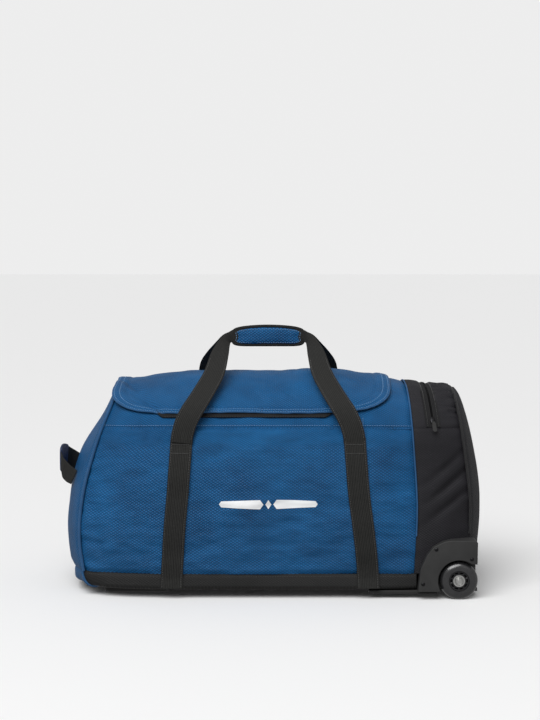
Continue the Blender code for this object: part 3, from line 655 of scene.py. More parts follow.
def build_yoke():
    count = 480
    outer = share_loop((0, BODY_SEAM, FRONT_SEAM, 2 - FRONT_SEAM), None, count)
    u, p, share = between(outer, share_loop(MOUTH, 8, count), 16)
    place = cloth_place(u, p)
    along, rise = place[..., 0], place[..., 1]
    from_front, from_back = rise - FRONT_RISE, BACK_RISE - rise
    lift = puckers(along, from_front, 41) + puckers(along, from_back, 42)
    lift = lift + seam_dip(from_front) + seam_dip(from_back)
    lift = lift + seam_dip(along, 0.0025) + seam_dip(BODY_LENGTH - along, 0.0025)
    loose = puckers(along * 0.6, from_front, 44, 0.0024, 0.03) + 0.0020 * rough(along, rise, 22, 43)
    nearest = np.minimum(np.minimum(from_front, from_back), along)
    lift = lift + loose * (0.15 + 0.85 * eased(nearest / 0.010))
    lift = lift * (1 - 0.9 * share**4)
    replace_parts(skin_shell("upper_body_fabric", u, p, lift, FABRIC, "blue", "bag", closed=True), "top_yoke")


def ring_grid(outline, shares):
    """Rings of an outline, scaled about its middle, as arrays of its two coordinates."""
    a, b = (np.asarray(part, float) for part in outline)
    middle = a.mean(), b.mean()
    shares = np.asarray(shares)[:, None]
    return middle[0] + shares * (a - middle[0]), middle[1] + shares * (b - middle[1])


def end_outline(side, low, count=40, floor_count=22):
    start = share_at_height(low)
    shares = start + (1 - start) * np.linspace(0, 1, count)
    y, z = profile(np.full(count, HALF_DEPTH - CORNER_INSET), rim_crest(side), shares)
    floor = np.linspace(y[0], -y[0], floor_count + 2)[1:-1]
    return np.concatenate([-y, y[-2::-1], floor]), np.concatenate([z, z[-2::-1], np.full(floor_count, low)])


def end_panel(side, name, material, replaced, seed):
    rings = 44
    y, z = ring_grid(end_outline(side, BAND_TOP + 0.0005), np.linspace(0.0005, 1, rings))
    rim = np.linspace(1, 0, rings)[:, None] * np.ones_like(y) * 0.145
    puff = seam_dip(rim, 0.0022) + 0.0016 * rough(y, z, 9, seed) + puckers(y + z, rim, seed + 1, 0.0009, 0.016)
    x, keep = end_x(side, y, z), None
    if side < 0:
        edge = end_x(side, rim_depth(side, z), z)
        x = edge + (x - edge) * (1 - 0.55 * eased((z - 0.25) / 0.09))
        keep = ~((np.abs(cell_middles(y, True)) < TROLLEY_BAY[0]) & (cell_middles(z, True) < TROLLEY_BAY[1]))
    outer = points_of(x + side * puff, y, z)
    inner = outer - np.array([side * FABRIC, 0, 0])
    made = shell(name, outer, inner, points_of(y + 0.2, z), material, "bag", closed=True, keep=keep)
    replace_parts(made, replaced)


def build_end_section():
    low = share_at_height(BAND_TOP + 0.0005)
    half = np.concatenate([np.linspace(low, WALL_SHARE, 60), np.linspace(WALL_SHARE, 1, 46)[1:]])
    ps = np.concatenate([half, 2 - half[-2::-1]])
    u, p = np.meshgrid(np.linspace(BODY_SEAM + 0.001, 1, 44), ps, indexing="ij")
    place = cloth_place(u, p)
    along, rise = place[..., 0] - BODY_LENGTH, place[..., 1]
    from_rim, from_base = END_LENGTH - along, np.minimum(rise, CLOTH_AROUND - rise)
    lift = seam_dip(along, 0.0025) + seam_dip(from_rim, 0.002) + puckers(rise, along, 51, 0.0010, 0.02)
    lift = lift + puckers(rise, from_rim, 52, 0.0018, 0.02)
    lift = lift + 0.0035 * bump_at(along, 0.045, 0.03) * np.clip(1 - (from_base - 0.1) / 0.3, 0, 1)
    for start, deep in ((0.115, 0.0042), (0.150, 0.0055), (0.186, 0.0036)):
        lift = lift - deep * bump_at(from_base - 0.75 * along, start, 0.0085) * bump_at(along, 0.062, 0.035)
    lift = lift + 0.0020 * rough(along, rise, 13, 53) + seam_dip(np.abs(from_base - 0.318), 0.0028, 0.004)
    gather = rough(rise * 0.8, along * 0.25, 90, 57) * np.exp(-np.maximum(from_rim, 0) / 0.035)
    lift = lift + 0.0090 * gather * eased((from_base - 0.33) / 0.05) + 0.0035 * eased((from_base - 0.40) / 0.08)
    slot = np.exp(-(((u - 0.92) / 0.017) ** 8)) * np.clip((from_base - 0.308) / 0.006, 0, 1)
    lift = lift * (1 - slot) - 0.0006 * slot
    outer = skin(u, p, lift)
    x, z = cell_middles(outer[..., 0]), cell_middles(outer[..., 2])
    keep = ~((x > np.interp(z, *ARCH)) & (z < 0.1085))
    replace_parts(skin_shell("end_section_fabric", u, p, lift, FABRIC, "black", "bag", keep=keep), "end_section")


def build_end_zip():
    u0, u1, p0 = END_ZIP
    u, p = np.meshgrid(np.linspace(u0 + 0.001, u1 - 0.001, 13), np.linspace(p0, 2 - p0, 150), indexing="ij")
    lift = 0.0006 + 0.0005 * bump_at(u, u0 + 0.001, 0.004) + 0.0005 * bump_at(u, u1 - 0.001, 0.004)
    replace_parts(skin_shell("end_zip_woven_tape", u, p, lift, 0.0012, "tape", "bag"), "end_zip_tape")
    at = np.full(240, (u0 + u1) / 2), np.linspace(p0 + 0.004, 2 - p0 - 0.004, 240)
    zip_teeth("end_zip_teeth", *at, 0.0010)
    for at, name in ((u0 + 0.006, "left"), (u1 - 0.006, "right")):
        us, ps = np.full(120, at), np.linspace(p0, 2 - p0, 120)
        skin_stitches(f"end_zip_stitching_{name}", us, ps, 0.0014, "black_thread", "bag")


def zip_teeth(name, us, ps, lift):
    """A coil of interlocked teeth along the skin. Their sizes are in millimetres."""
    place = skin(us, ps, lift)
    out = unit(outward(us, ps))
    along = unit(np.gradient(place, axis=0))
    side = unit(np.cross(along, out))
    foot = ((-2.0, -0.45, 0), (1.2, -0.45, 0), (1.2, 0.45, 0), (-2.0, 0.45, 0))
    crown = ((-1.8, -0.3, 1.1), (0.9, -0.3, 1.1), (0.9, 0.3, 1.1), (-1.8, 0.3, 1.1))
    points, faces = [], []
    for i in range(len(us)):
        turn = 1 if i % 2 else -1
        faces += ring_faces(2, 4, len(points))
        for a, b, c in foot + crown:
            points.append(place[i] + (turn * a * side[i] + b * along[i] + c * out[i]) * 0.001)
    make(name, points, faces, "zip_metal", "bag")


def base_outline():
    """The base band seen from above, as x and y, with 41 points on each end and 59 on each side."""
    z = 0.03
    points = []
    for side in (-1, 1):
        y = np.linspace(-side, side, 41) * rim_depth(side, z)
        points.append(points_of(end_x(side, y, z), y))
        u = np.arange(1, 60) / 60
        u = u if side < 0 else 1 - u
        x = skin_point(u, np.full(59, share_at_height(z)))[:, 0]
        points.append(points_of(x, side * half_depth(u) * 0.972))
    return np.concatenate(points).T


def build_base():
    x, y = base_outline()
    ahead_x, ahead_y = np.roll(x, -1) - np.roll(x, 1), np.roll(y, -1) - np.roll(y, 1)
    gap = np.hypot(ahead_x, ahead_y)
    nx, ny = ahead_y / gap, -ahead_x / gap
    turn = np.sign(np.sum(nx * x + ny * y))
    nx, ny = nx * turn, ny * turn
    band = BAND_TOP - BASE_UNDER
    xs = [x * share for share in np.linspace(0.0005, 0.94, 34)]
    ys = [y * share for share in np.linspace(0.0005, 0.94, 34)]
    zs = [0 * x + BASE_UNDER for _ in xs]
    rounding = ((0.0115, 0.0), (0.0072, 0.0009), (0.0034, 0.0031), (0.0011, 0.0060))
    run = np.arange(len(x)) * 0.012
    for inset, height in (*rounding, *((0.0, height) for height in np.linspace(0.0090, band, 12))):
        sag = 0.0
        if not inset:
            sag = 0.0011 * rough(run, np.full(len(x), height), 12, 61) + seam_dip(band - height, 0.0022, 0.004)
        xs.append(x - nx * (inset - sag))
        ys.append(y - ny * (inset - sag))
        zs.append(0 * x + BASE_UNDER + height)
    x, y, z = np.array(xs), np.array(ys), np.array(zs)
    low = np.clip(1 - (z - BASE_UNDER) / band, 0, 1)
    corner = eased((-0.295 - x) / 0.045) * (0.15 + 0.85 * eased((np.abs(y) - 0.078) / 0.04))
    x = x + 0.022 * (1 - np.sqrt(1 - 0.98 * low**2)) * corner
    flat = z < BASE_UNDER + 0.005
    outer = points_of(x, y, z)
    inner = outer + FABRIC * points_of(-nx * ~flat, -ny * ~flat, flat)
    xm, ym, zm = (cell_middles(part, True) for part in (x, y, z))
    wheel_bay = (xm > 0.2712) & (np.abs(ym) > 0.1475)
    trolley_bay = (xm < -0.3) & (np.abs(ym) < TROLLEY_BAY[0]) & (zm > 0.0200)
    keep = ~(wheel_bay | trolley_bay)
    made = shell("base_fabric", outer, inner, points_of(x, y + z), "base", "bag", closed=True, keep=keep)
    made.data.materials.append(M["blue"])
    rim = float(rim_depth(-1, 0.03))
    for face in made.data.polygons:
        at = face.center
        face.material_index = int(abs(at.y) < rim - 0.0005 and at.x < -0.31 and at.z > BASE_UNDER + 0.001)
    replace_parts(made, "base_shell")
    for side in (FRONT, BACK):
        at = np.argmin(np.abs(y[-1] - side * rim) + np.abs(x[-1] + 0.340))
        tube(f"left_end_piping_{FACES[side]}_corner", outer[34:, at], 0.0026, "piping", "bag")


def build_seams():
    """Piping and rolled seams between the panels, and the stitching beside them."""
    p = np.linspace(BAND_SEAM, 2 - BAND_SEAM, 150)
    for u, lift, name, material, radius, low in (
        (0.0, 0.0006, "left_end_piping", "piping", 0.0030, 0.04),
        (1.0, 0.0004, "right_end_piping", "black_piping", 0.0028, 0.1120),
        (BODY_SEAM + 0.0004, 0.0004, "colour_seam_roll", "piping", 0.0016, 0.1120),
    ):
        us = np.full(150, u)
        at = skin(us, p, lift)
        keep = at[:, 2] > low
        tube(name, at[keep], radius, material, "bag", normals=(skin(us, p, 0.01) - at)[keep])
    for side in (FRONT, BACK):
        u = np.linspace(0.002, BODY_SEAM - 0.002, 200)
        path = skin(u, np.full(200, FRONT_SEAM if side < 0 else 2 - FRONT_SEAM), -0.0042)
        tube(f"{FACES[side]}_yoke_seam_allowance", path, 0.0026, "blue", "bag")
    for u, name in ((0.716, "right"), (0.724, "right_second")):
        at = np.full(20, u), np.linspace(0.7000, 0.7420, 20)
        skin_stitches(f"front_tuck_stitching_{name}", *at, 0.0006, "blue_thread", "bag")
    u = np.linspace(0.0, BODY_SEAM, 220)
    for side in (FRONT, BACK):
        for seam, shift, lift, name, material in (
            (FRONT_SEAM, 0.0062 / CLOTH_TOP, 0.0, "yoke_seam", "blue_thread"),
            (BAND_SEAM, -0.0045 / CLOTH_WALL, -0.0008, "band_seam", "black_thread"),
        ):
            at, moved = (seam, seam + shift) if side < 0 else (2 - seam, 2 - seam - shift)
            path, out = skin(u, np.full(220, moved), lift), outward(u, np.full(220, at))
            stitches(f"{FACES[side]}_{name}_stitching", path, out, material, "bag")


# Lid


def flap_lift(u, p, share):
    """Height of the flap over the plain skin. share is 1 at its edge."""
    place = cloth_place(u, p)
    along, rise = place[..., 0], place[..., 1]
    edge = (1 - share) * 0.14
    lift = FLAP_LIFT + 0.0034 + 0.0032 * rough(along, rise, 9, 71) + 0.0014 * rough(along, rise, 26, 72)
    lift = lift + 0.0046 * np.maximum(rough(along + 0.8 * rise, rise * 0.4, 16, 76), 0)
    hem = 0.0012 * np.exp(-(((edge - 0.0065) / 0.0055) ** 4)) - 0.0009 * bump_at(edge, 0.0135, 0.0022)
    lift = lift + hem + puckers(along + rise, edge, 73, 0.0007, 0.02)
    for tall, start, slope, width, middle in ((1.0, 0.45, 1.4, 0.010, 0.05), (0.8, 0.42, 0.9, 0.008, 0.07)):
        crease = bump_at(rise - start + slope * (along - 0.03), 0.0, width) * bump_at(along, middle, 0.05)
        lift = lift - 0.0042 * tall * crease
    front = np.clip((0.39 - rise) / 0.03, 0, 1)
    return lift + 0.0045 * (1 - eased(along / 0.05)) + 0.0020 * front * rough(along, rise * 0, 14, 74)


def build_lid_gusset():
    """The strip of fabric that the lid turns on, from the body to the back edge of the flap."""
    rows = ((1.2000, 0.4), (1.1930, 1.6), (1.1860, 3.4), (1.1790, 4.6), (1.1720, 5.0), (1.1640, 5.0))
    rows = smooth_path(rows, 3)
    u = np.linspace(0.040, 0.765, 160)[:, None] * np.ones(len(rows))
    p, lift = rows[:, 0] * np.ones_like(u), rows[:, 1] * 0.001 * np.ones_like(u)
    gusset = skin_shell("lid_hinge_gusset", u, p, lift, 0.0012, "blue", None)
    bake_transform(gusset, "bag", "lid", (-0.0226, 0.1400, 0.3640), (-0.0226, 0.1290, 0.3740))


def build_lid():
    count = 420
    u, p = share_loop(FLAP, 5, count)
    front_wave = 0.0035 * rough(u * CLOTH_ALONG, p * 0, 10, 75)
    outline = u, p + front_wave * (p < 0.95)
    shares = np.concatenate([np.linspace(0.0005, 0.86, 40), np.linspace(0.872, 1.0, 18)])
    u, p = ring_grid(outline, shares)
    lift = flap_lift(u, p, shares[:, None] * np.ones_like(u))
    flap = skin_shell("storm_flap", u, p, lift, 0.0022, "blue", "lid", closed=True)
    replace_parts(flap, "top_flap")
    for edge, name in ((0.9520, "inner"), (0.9885, "outer")):
        u, p = (part[0] for part in ring_grid(outline, [edge]))
        top = flap_lift(u, p, np.full(count, edge))
        skin_stitches(f"flap_hem_stitching_{name}", u, p, top, "blue_thread", "lid", closed=True)
    u, p = (part[0] for part in ring_grid(outline, [1.0]))
    hem = skin(u, p, flap_lift(u, p, np.ones(count)) - 0.0011)
    # The hem roll takes the lighter piping fabric, which paints a highlight along the flap's edge.
    tube("flap_hem_roll_painted_highlight", hem, 0.0016, "piping", "lid", closed=True, normals=outward(u, p))


def mouth_loop(inside, count):
    """The mouth's outline, moved inwards by a distance in metres."""
    u0, u1, p0, p1 = MOUTH
    across, up = inside / 0.632, inside / CLOTH_TOP
    return share_loop((u0 + across, u1 - across, p0 + up, p1 - up), 8, count)


def u_band(name, start, end, replaced, body):
    """A U of zip tape round the mouth, between two distances inside its edge."""
    count = 480
    u, p, _ = between(mouth_loop(start, count), mouth_loop(end, count), 7)
    order = np.r_[192:count, 0:52]
    u, p = u[:, order], p[:, order]
    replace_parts(skin_shell(name, u, p, -0.0008 * np.ones_like(u), 0.0014, "tape", body), replaced)


def build_main_zip():
    """The zip round the mouth, and the strip of tape that shows below the flap over its front edge."""
    left, right, low, high = 0.122, 0.660, 0.7375, 0.7725
    u, p = np.meshgrid(np.linspace(left, right, 200), np.linspace(low, high, 8), indexing="ij")
    ends = eased(np.minimum(u - left, right - u) / 0.045)
    p = high - (high - p) * (0.12 + 0.88 * ends)
    lift = 0.0040 - 0.0012 * ((p - 0.755) / 0.0175) ** 2
    skin_shell("main_zip_facing", u, p, lift, 0.0016, "tape", "bag")
    at = np.linspace(0.165, 0.617, 200), np.full(200, 0.7400)
    skin_stitches("main_zip_facing_stitching", *at, 0.0035, "black_thread", "bag")
    u_band("main_zip_woven_tape", 0.0006, 0.0144, "main_zip_tape", "bag")
    u_band("lid_zip_woven_tape", 0.0150, 0.0230, "lid_zip_tape", "lid")
    order = np.r_[800:2000, 0:216]
    us, ps = (part[order] for part in mouth_loop(0.0075, 2000))
    length = run_length(skin(us, ps))
    steps = np.arange(0, length[-1], 0.0016)
    zip_teeth("main_zip_teeth", np.interp(steps, length, us), np.interp(steps, length, ps), -0.0006)


# Webbing


def strap_mesh(name, middles, across, outs, widths, material, body, thick=WEBBING, cup=0.0, columns=13):
    """A flat strap with rounded edges through many stations."""
    across, outs = unit(across), unit(outs)
    shares = np.linspace(-1, 1, columns)[None, :, None]
    edge = np.sqrt(np.clip(1 - np.clip((np.abs(shares) - 0.94) / 0.06, 0, 1) ** 2, 0.12, 1))
    arch = cup * (1 - shares**2)
    flat = middles[:, None] + across[:, None] * shares * widths[:, None, None] / 2
    outer = flat + outs[:, None] * (thick / 2 * edge + arch)
    inner = flat + outs[:, None] * (-thick / 2 * edge + arch)
    cloth = points_of(shares[..., 0] * 0.02 + 0.1, run_length(middles)[:, None])
    return shell(name, outer, inner, cloth, material, body)


def smoothed(values, reach):
    """A running mean over reach values on each side."""
    width = 2 * reach + 1
    return np.convolve(np.pad(values, reach, mode="edge"), np.ones(width) / width, mode="valid")


def sewn_strap(side, name, xs):
    """A strap sewn to the body. It lies on the highest of the fabric across its width."""
    z = np.linspace(0.0210, 0.2960, 90)
    x = smoothed(np.interp(z, (0.023, 0.070, 0.130, 0.200, 0.250, 0.295), xs), 8)
    share = np.where(z < WALL_TOP, share_at_height(z), WALL_SHARE + (z - WALL_TOP) * 3.04)
    rest = []
    for offset in np.linspace(-0.021, 0.021, 9):
        u = share_at_x(x + offset, z)
        rest.append(np.where(z < BAND_TOP, 0.0, wall_lift(u, cloth_place(u, share), SIDE_SEEDS[side])))
    rest = np.max(rest, axis=0)
    rest = smoothed(np.max([np.roll(rest, k) for k in (-2, -1, 0, 1, 2)], axis=0), 4)
    lift, p = rest + WEBBING / 2 + 0.0006, share if side < 0 else 2 - share
    before, middles, after = (skin(share_at_x(x + offset, z), p, lift) for offset in (-0.004, 0.0, 0.004))
    across = unit(after - before)
    out = np.cross(across, np.gradient(middles, axis=0))
    out = unit(out * (np.sign(out[:, 1]) * side)[:, None])
    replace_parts(strap_mesh(f"{name}_webbing", middles, across, out, np.full(90, 0.040), "webbing", "bag"), name)
    top = out * WEBBING * 0.45
    for edge, label in ((-1, "left"), (1, "right")):
        path = middles + across * edge * 0.0172 + top
        stitches(f"{name}_edge_stitching_{label}", path, out, "black_thread", "bag")
    for height in (0.272, 0.286):
        k = int(np.argmin(np.abs(z - height)))
        line = middles[k] + np.linspace(-0.0165, 0.0165, 12)[:, None] * across[k] + top[k]
        sizes = {"long": 0.0022, "gap": 0.0004, "radius": 0.0007}
        stitches(f"{name}_bar_tack_{int(height * 1000)}", line, out[[k] * 12], "black_thread", "bag", **sizes)


def smooth_path(rows, per_span):
    """Rows of numbers joined by a Catmull-Rom curve."""
    rows = np.asarray(rows, float)
    padded = np.concatenate([2 * rows[:1] - rows[1:2], rows, 2 * rows[-1:] - rows[-2:-1]])
    out = []
    for i in range(len(rows) - 1):
        a, b, c, d = padded[i : i + 4]
        for t in np.linspace(0, 1, per_span, endpoint=False):
            squared, cubed = 2 * a - 5 * b + 4 * c - d, 3 * b - a - 3 * c + d
            out.append(0.5 * (2 * b + (c - a) * t + squared * t**2 + cubed * t**3))
    out.append(rows[-1])
    return np.array(out)


# Half of the front handle, from its sewn foot to the middle of the grip: x, y, z, lean in degrees, width
HANDLE_ROWS = (
    (0.1572, -0.1886, 0.2905, 0, 0.040),
    (0.1558, -0.1888, 0.3040, 0, 0.040),
    (0.1500, -0.1876, 0.3250, 4, 0.040),
    (0.1405, -0.1835, 0.3450, 18, 0.040),
    (0.1290, -0.1740, 0.3630, 34, 0.040),
    (0.1145, -0.1500, 0.3860, 45, 0.040),
    (0.1000, -0.1120, 0.4120, 52, 0.039),
    (0.0915, -0.0640, 0.4420, 46, 0.034),
    (0.0865, -0.0360, 0.4570, 34, 0.027),
    (0.0810, -0.0150, 0.4670, 16, 0.021),
    (0.0730, -0.0055, 0.4716, 0, 0.020),
    (0.0560, -0.0050, GRIP_Z, 0, 0.030),
    (0.0, -0.0050, GRIP_Z, 0, 0.034),
)


def build_handle(side):
    half = smooth_path(HANDLE_ROWS, 9)
    rows = np.concatenate([half * np.array([-1, 1, 1, 1, 1]), half[-2::-1]])
    lean, flip = np.radians(rows[:, 3]), np.array([1, -side, 1])
    out = points_of(0.0, -np.cos(lean), np.sin(lean))
    across = unit(np.cross(out, np.gradient(rows[:, :3], axis=0)) * flip)
    out = out * flip
    middles = rows[:, :3] * flip + np.array([HANDLE_X, 0, 0])
    if side > 0:
        middles[:, 0] += np.sign(rows[:, 0]) * 0.016 * bump_at(rows[:, 2], 0.415, 0.032)
    face, body = FACES[side], f"{FACES[side]}_handle"
    made = strap_mesh(f"{face}_handle_webbing", middles, across, out, rows[:, 4], "webbing", body, cup=0.0006)
    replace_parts(made, f"{face}_handle_strap")
    last = len(rows)
    for edge, label in ((-1, "low"), (1, "high")):
        for part, end in ((slice(4, 62), "left"), (slice(last - 62, last - 4), "right")):
            inset = rows[part, 4][:, None] / 2 - 0.0030
            path = middles[part] + across[part] * edge * inset + out[part] * 0.0013
            stitches(f"{face}_handle_stitching_{end}_{label}", path, out[part], "black_thread", body)


def wrap_outline(grow, count=160):
    """The wrap seen from the front: nearly straight edges, full round ends and a slight arch."""
    c, s = np.cos(turns(count)), np.sin(turns(count))
    r = (np.abs(c) ** 7 + np.abs(s) ** 3.2) ** (-1 / 4.5)
    x = (0.0655 + grow) * r * c / np.max(r * np.abs(c))
    z = (0.0165 + grow) * r * s / np.max(r * np.abs(s))
    return x, z + 0.0016 - 0.0030 * (x / 0.07) ** 2


def wrap_depth(share):
    return 0.0022 + 0.0088 * np.clip(1 - share**3.2, 0, 1) ** 0.55


def build_wrap(side):
    """Half of the padded wrap: a puffed shell, with its binding."""
    face, body = FACES[side], f"{FACES[side]}_handle"

    def spot(x, depth, z):
        return points_of(HANDLE_X + x, side * depth, GRIP_Z + z)

    shares = np.concatenate([np.linspace(0.0005, 0.8, 16), np.linspace(0.84, 1.0, 10)])
    x, z = ring_grid(wrap_outline(0.0), shares)
    share = shares[:, None] * np.ones_like(x)
    depth = wrap_depth(share) + 0.0007 * rough(x, z, 45, 81 + side)
    depth = depth + 0.0006 * rough(x, z * 0.3, 120, 84 + side) * share
    outer, inner = spot(x, depth, z), spot(x, 0.0006, z)
    made = shell(f"{face}_grip_wrap", outer, inner, points_of(x, z), "blue", body, closed=True)
    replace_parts(made, f"handle_wrap_{face}")
    x, z = wrap_outline(0.0012)
    out = points_of(0 * x, side, 0)
    around = {"closed": True, "sides": 12, "flat": 0.95}
    tube(f"{face}_grip_binding", spot(x, 0.0034, z), 0.0031, "binding", body, normals=out, **around)
    x, z = wrap_outline(-0.0035)
    path = spot(x, wrap_depth(1 - 0.0035 / 0.0165), z)
    stitches(f"{face}_grip_stitching", path, out, "blue_thread", body, closed=True)


# Half of the end loop, from one sewn end to its middle, about its pivot: x, y, z, width
LOOP_ROWS = (
    (0.0020, -0.0880, 0.0, 0.030),
    (-0.0100, -0.0810, 0.0070, 0.034),
    (-0.0210, -0.0660, 0.0160, 0.038),
    (-0.0275, -0.0400, 0.0250, 0.040),
    (-0.0301, -0.0150, 0.0290, 0.040),
)


def build_end_loop():
    mirrored = tuple((x, -y, z, wide) for x, y, z, wide in reversed(LOOP_ROWS))
    rows = smooth_path(LOOP_ROWS + mirrored, 8)
    middles = rows[:, :3] + np.array(LOOP_PIVOT)
    along = unit(np.gradient(middles, axis=0))
    out = points_of(-along[:, 1], along[:, 0], 0.0)
    across = np.cross(out, along)
    made = strap_mesh("end_loop_webbing", middles, across, out, rows[:, 3], "webbing", "end_loop", columns=11)
    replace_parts(made, "end_loop_strap")
    at = slice(24, 50)
    part = middles[at], across[at], out[at], rows[at, 3] + 0.004
    # The sleeve's darker blue is painted shade.
    sleeve = strap_mesh("end_loop_padding", *part, "navy", "end_loop", thick=0.0046, cup=0.0004)
    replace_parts(sleeve, "end_loop_sleeve")


# Wheeled end


def ring_about(name, section, centre, segments, material, body, replaced=None):
    """A body turned about the Y axis from a closed section of (radius, y) pairs."""
    r, y = np.array(section).T
    angles = turns(segments)[:, None]
    points = points_of(r * np.cos(angles), y, r * np.sin(angles)) + np.array(centre)
    faces = ring_faces(segments, len(r), closed=True)
    made = make(name, points.reshape(-1, 3), faces, material, body)
    if replaced:
        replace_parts(made, replaced)


def disc_about(name, stations, centre, segments, material, body, replaced=None):
    """A solid turned about the Y axis from (y, radius) stations."""
    y, r = (part[:, None] for part in np.array(stations).T)
    points = points_of(r * np.cos(turns(segments)), y, r * np.sin(turns(segments))) + np.array(centre)
    made = make(name, points.reshape(-1, 3), ring_faces(len(stations), segments), material, body)
    if replaced:
        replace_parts(made, replaced)


def symmetric(section, y=0.0):
    """A section in (radius, y) pairs, joined to its mirror image about a y."""
    return section + [(r, 2 * y - v) for r, v in reversed(section)]


def build_wheel(side):
    face = FACES[side]
    body = f"{face}_wheel"
    centre = (WHEEL[0], side * WHEEL[1], WHEEL[2])
    tyre = [(0.0190 + 0.0160 * (1 - abs(v) ** 2.3) ** 0.5, 0.0115 * v) for v in np.linspace(-1, 1, 33)]
    tyre += [(0.0188, 0.0095), (0.0188, -0.0095)]
    rim = [(0.0160, -0.0088), (0.0165, -0.0098), (0.0180, -0.0098), (0.0185, -0.0090)]
    core = [(0.0113, -0.0088), (0.0118, -0.0097), (0.0128, -0.0097), (0.0132, -0.0088)]
    ring_about(f"{face}_tyre", tyre, centre, 120, "tyre", body, f"wheel_tyre_{face}")
    ring_about(f"{face}_hub_rim", symmetric(rim), centre, 96, "hub", body)
    ring_about(f"{face}_hub_core", symmetric(core), centre, 96, "hub", body, f"wheel_hub_{face}")
    spoke = [(-0.0082, 0.7), (-0.0088, 0.35), (0.0088, 0.35), (0.0082, 0.7)]
    points, faces = [], []
    for i in range(10):
        a = 2 * math.pi * (i + 0.5) / 10
        faces += ring_faces(3, 8, len(points))
        for r in (0.0126, 0.0146, 0.0166):
            half_width = 1.6 * (0.0011 + 0.0007 * abs(r - 0.0146) / 0.002)
            for y, w in spoke + [(y, -w) for y, w in reversed(spoke)]:
                x = r * math.cos(a) - w * half_width * math.sin(a)
                z = r * math.sin(a) + w * half_width * math.cos(a)
                points.append((centre[0] + x, centre[1] + y, centre[2] + z))
    make(f"{face}_hub_spokes", points, faces, "hub", body)
    for place, y in (("outer", side * 0.0060), ("inner", -side * 0.0060)):
        race = [(0.0085, y - 0.0034), (0.0092, y - 0.0036), (0.0108, y - 0.0036), (0.0111, y - 0.0032)]
        seal = [(0.0043, y - 0.0033), (0.0058, y - 0.0034), (0.0062, y - 0.0029), (0.0084, y - 0.0029)]
        name, replaced = f"{face}_bearing_{place}", f"wheel_bearing_{face}_{place}"
        ring_about(f"{name}_race", symmetric(race, y), centre, 64, "steel", body, replaced)
        ring_about(f"{name}_seal", symmetric(seal, y), centre, 64, "steel", body)
    bolt = [(0.0124, 0.0030), (0.0112, 0.0032), (0.0112, 0.0050), (0.0122, 0.0058), (0.0122, 0.0066)]
    bolt += [(0.0112, 0.0074), (0.0100, 0.0076), (0.0099, 0.0040), (-0.0240, 0.0040)]
    bolt = [(side * y, r) for y, r in bolt]
    disc_about(f"{face}_axle_bolt", bolt, centre, 48, "steel", "bag", f"axle_bolt_{face}")


RIVET = ((0.0, 0.0036), (0.0006, 0.0036), (0.0013, 0.0028), (0.0016, 0.0012))


def build_wheeled_end():
    for side in (FRONT, BACK):
        face = FACES[side]
        refined(f"wheel_housing_{face}", f"{face}_wheel_moulding", "plastic", 0.0016)
        build_wheel(side)
        for x, z in ((0.3690, 0.0760), (0.2800, 0.0300), (0.3040, 0.0940)):
            rivet = [(side * y, r) for y, r in RIVET]
            disc_about(f"{face}_rivet_{int(x * 1000)}", rivet, (x, side * 0.1858, z), 24, "zip_metal", "bag")
    refined("wheel_tray", "wheel_tray_moulding", "grip", 0.0010, 2)
    for side in (FRONT, BACK):
        for i, z in enumerate((0.0100, 0.0128)):
            path = points_of(np.linspace(0.186, 0.305, 40), side * 0.1700, z)
            tube(f"{FACES[side]}_tray_rib_{i}", path, 0.0007, "grip", "bag")
        refined(f"skid_foot_{FACES[side]}", f"{FACES[side]}_skid_foot", "grip", 0.0015)


def build_small_parts():
    for face in FACES.values():
        for stage in ("outer", "middle", "inner"):
            refined(f"trolley_{stage}_tube_{face}", f"{face}_{stage}_tube", "aluminium", 0.0012)
    refined("trolley_grip", "pull_handle_grip", "grip", 0.0018)
    refined("trolley_bezel", "pull_handle_bezel", "plastic", 0.0012, 2)
    refined("release_button", "pull_handle_button", "hub", 0.0008, 2)
    refined("trolley_foot_block", "pull_handle_foot", "plastic", 0.0010, 2)
    for name in ("main_zip_slider_left", "main_zip_slider_right", "end_zip_slider"):
        refined(name, name.replace("slider", "runner"), "zip_metal", 0.0004, 2)
    refined("end_zip_pull", "end_zip_pull_tab", "grip", 0.0005)
    refined("base_board", "stiff_base_board", "board", 0.0008, 2)
    refined("end_pocket_divider", "end_pocket_wall", "black", 0.0004, 2)


def build_mark():
    """A plain printed mark: two tapered bars either side of a small diamond."""
    upper = [(0.0900, 0.0), (0.0860, 0.0055), (0.0150, 0.0085), (0.0090, 0.0)]
    bar = np.array([*upper, (0.0150, -0.0085), (0.0860, -0.0055)])
    diamond = np.array([(-0.0055, 0.0), (0.0, 0.0085), (0.0055, 0.0), (0.0, -0.0085)])
    middle_height, rings, side_points = 0.178, 14, 24
    for i, corners in enumerate((bar * (-1, 1), bar, diamond)):
        ahead = np.roll(corners, -1, axis=0)
        sides = [np.linspace(*ends, side_points, endpoint=False) for ends in zip(corners, ahead)]
        middle = corners.mean(0)
        flat = middle + np.linspace(0.001, 1, rings)[:, None, None] * (np.concatenate(sides) - middle)
        x, z = HANDLE_X + 0.0005 + flat[..., 0], middle_height + flat[..., 1]
        u, p = share_at_x(x, z), share_at_height(z)
        lift = wall_lift(u, cloth_place(u, p), SIDE_SEEDS[FRONT]) + 0.0006
        skin_shell(f"printed_mark_{i}", u, p, lift, 0.0006, "mark", "bag", closed=True)


# Stage


def placed(name, data, location=(0, 0, 0), rotation=(0, 0, 0)):
    obj = bpy.data.objects.new(name, data)
    obj.location = location
    obj.rotation_euler = rotation
    bpy.context.scene.collection.objects.link(obj)
    return obj


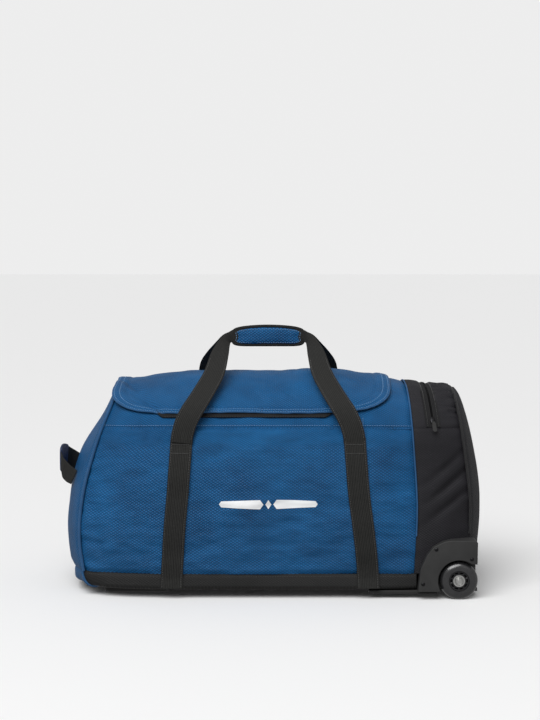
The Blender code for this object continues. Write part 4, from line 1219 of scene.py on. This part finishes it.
def build_stage():
    """A pale floor, soft light from above and the front, and a camera a little above the bag."""
    mesh = bpy.data.meshes.new("floor")
    mesh.from_pydata([(-30, -30, 0), (30, -30, 0), (30, 30, 0), (-30, 30, 0)], [], [(0, 1, 2, 3)])
    mesh.materials.append(shader_of("pale_floor", (0.90, 0.90, 0.90), 0.9, gloss=0.1)[0])
    floor = placed("floor", mesh)
    floor.visible_diffuse = False
    floor.visible_glossy = False
    world = bpy.data.worlds.new("studio")
    world.use_nodes = True
    tree = world.node_tree
    lighting = tree.nodes["Background"]
    lighting.inputs["Color"].default_value = (1, 1, 1, 1)
    lighting.inputs["Strength"].default_value = 0.34
    seen = node(tree, "ShaderNodeBackground", {"Color": (1, 1, 1, 1), "Strength": 0.85})
    path, choice = node(tree, "ShaderNodeLightPath"), node(tree, "ShaderNodeMixShader")
    tree.links.new(path.outputs["Is Camera Ray"], choice.inputs[0])
    tree.links.new(lighting.outputs[0], choice.inputs[1])
    tree.links.new(seen.outputs[0], choice.inputs[2])
    tree.links.new(choice.outputs[0], tree.nodes["World Output"].inputs[0])
    bpy.context.scene.world = world
    bpy.context.scene.view_settings.view_transform = "Standard"
    sun = bpy.data.lights.new("sky_panel", "SUN")
    sun.energy = 2.4
    sun.angle = math.radians(50)
    placed("sky_panel", sun, rotation=(math.radians(37), math.radians(-17), 0))
    for name, at, size, power in (
        ("key", (-1.1, -1.9, 2.7), 1.3, 6),
        ("front", (-0.7, -3.3, 2.2), 1.5, 12),
        ("fill", (1.9, -3.0, 2.2), 1.6, 2),
    ):
        light = bpy.data.lights.new(name, "AREA")
        light.energy = power
        light.size = size
        towards_bag = Vector((0, 0, 0.2)) - Vector(at)
        placed(name, light, at, towards_bag.to_track_quat("-Z", "Y").to_euler())
    camera = bpy.data.cameras.new("camera")
    camera.lens = 82.6
    camera.sensor_width = 36
    bpy.context.scene.camera = placed("camera", camera, (0, -3.17, 0.655), (math.radians(90 - 4.1), 0, 0))


def main():
    build_stage()
    for side in (FRONT, BACK):
        side_panel(side)
    build_yoke()
    end_panel(-1, "left_end_fabric", "blue", "left_end_panel", 31)
    end_panel(1, "right_end_fabric", "black", "right_end_panel", 35)
    build_end_section()
    build_end_zip()
    build_base()
    build_seams()
    build_main_zip()
    build_lid()
    build_lid_gusset()
    for side in (FRONT, BACK):
        face = FACES[side]
        sewn_strap(side, f"{face}_strap_left", (-0.1812, -0.1785, -0.1745, -0.1675, -0.1638, -0.1605))
        sewn_strap(side, f"{face}_strap_right", (0.181, 0.1780, 0.1708, 0.161, 0.1573, 0.1535))
        build_handle(side)
        build_wrap(side)
    build_end_loop()
    build_wheeled_end()
    build_small_parts()
    build_mark()
    bpy.context.view_layer.update()


main()
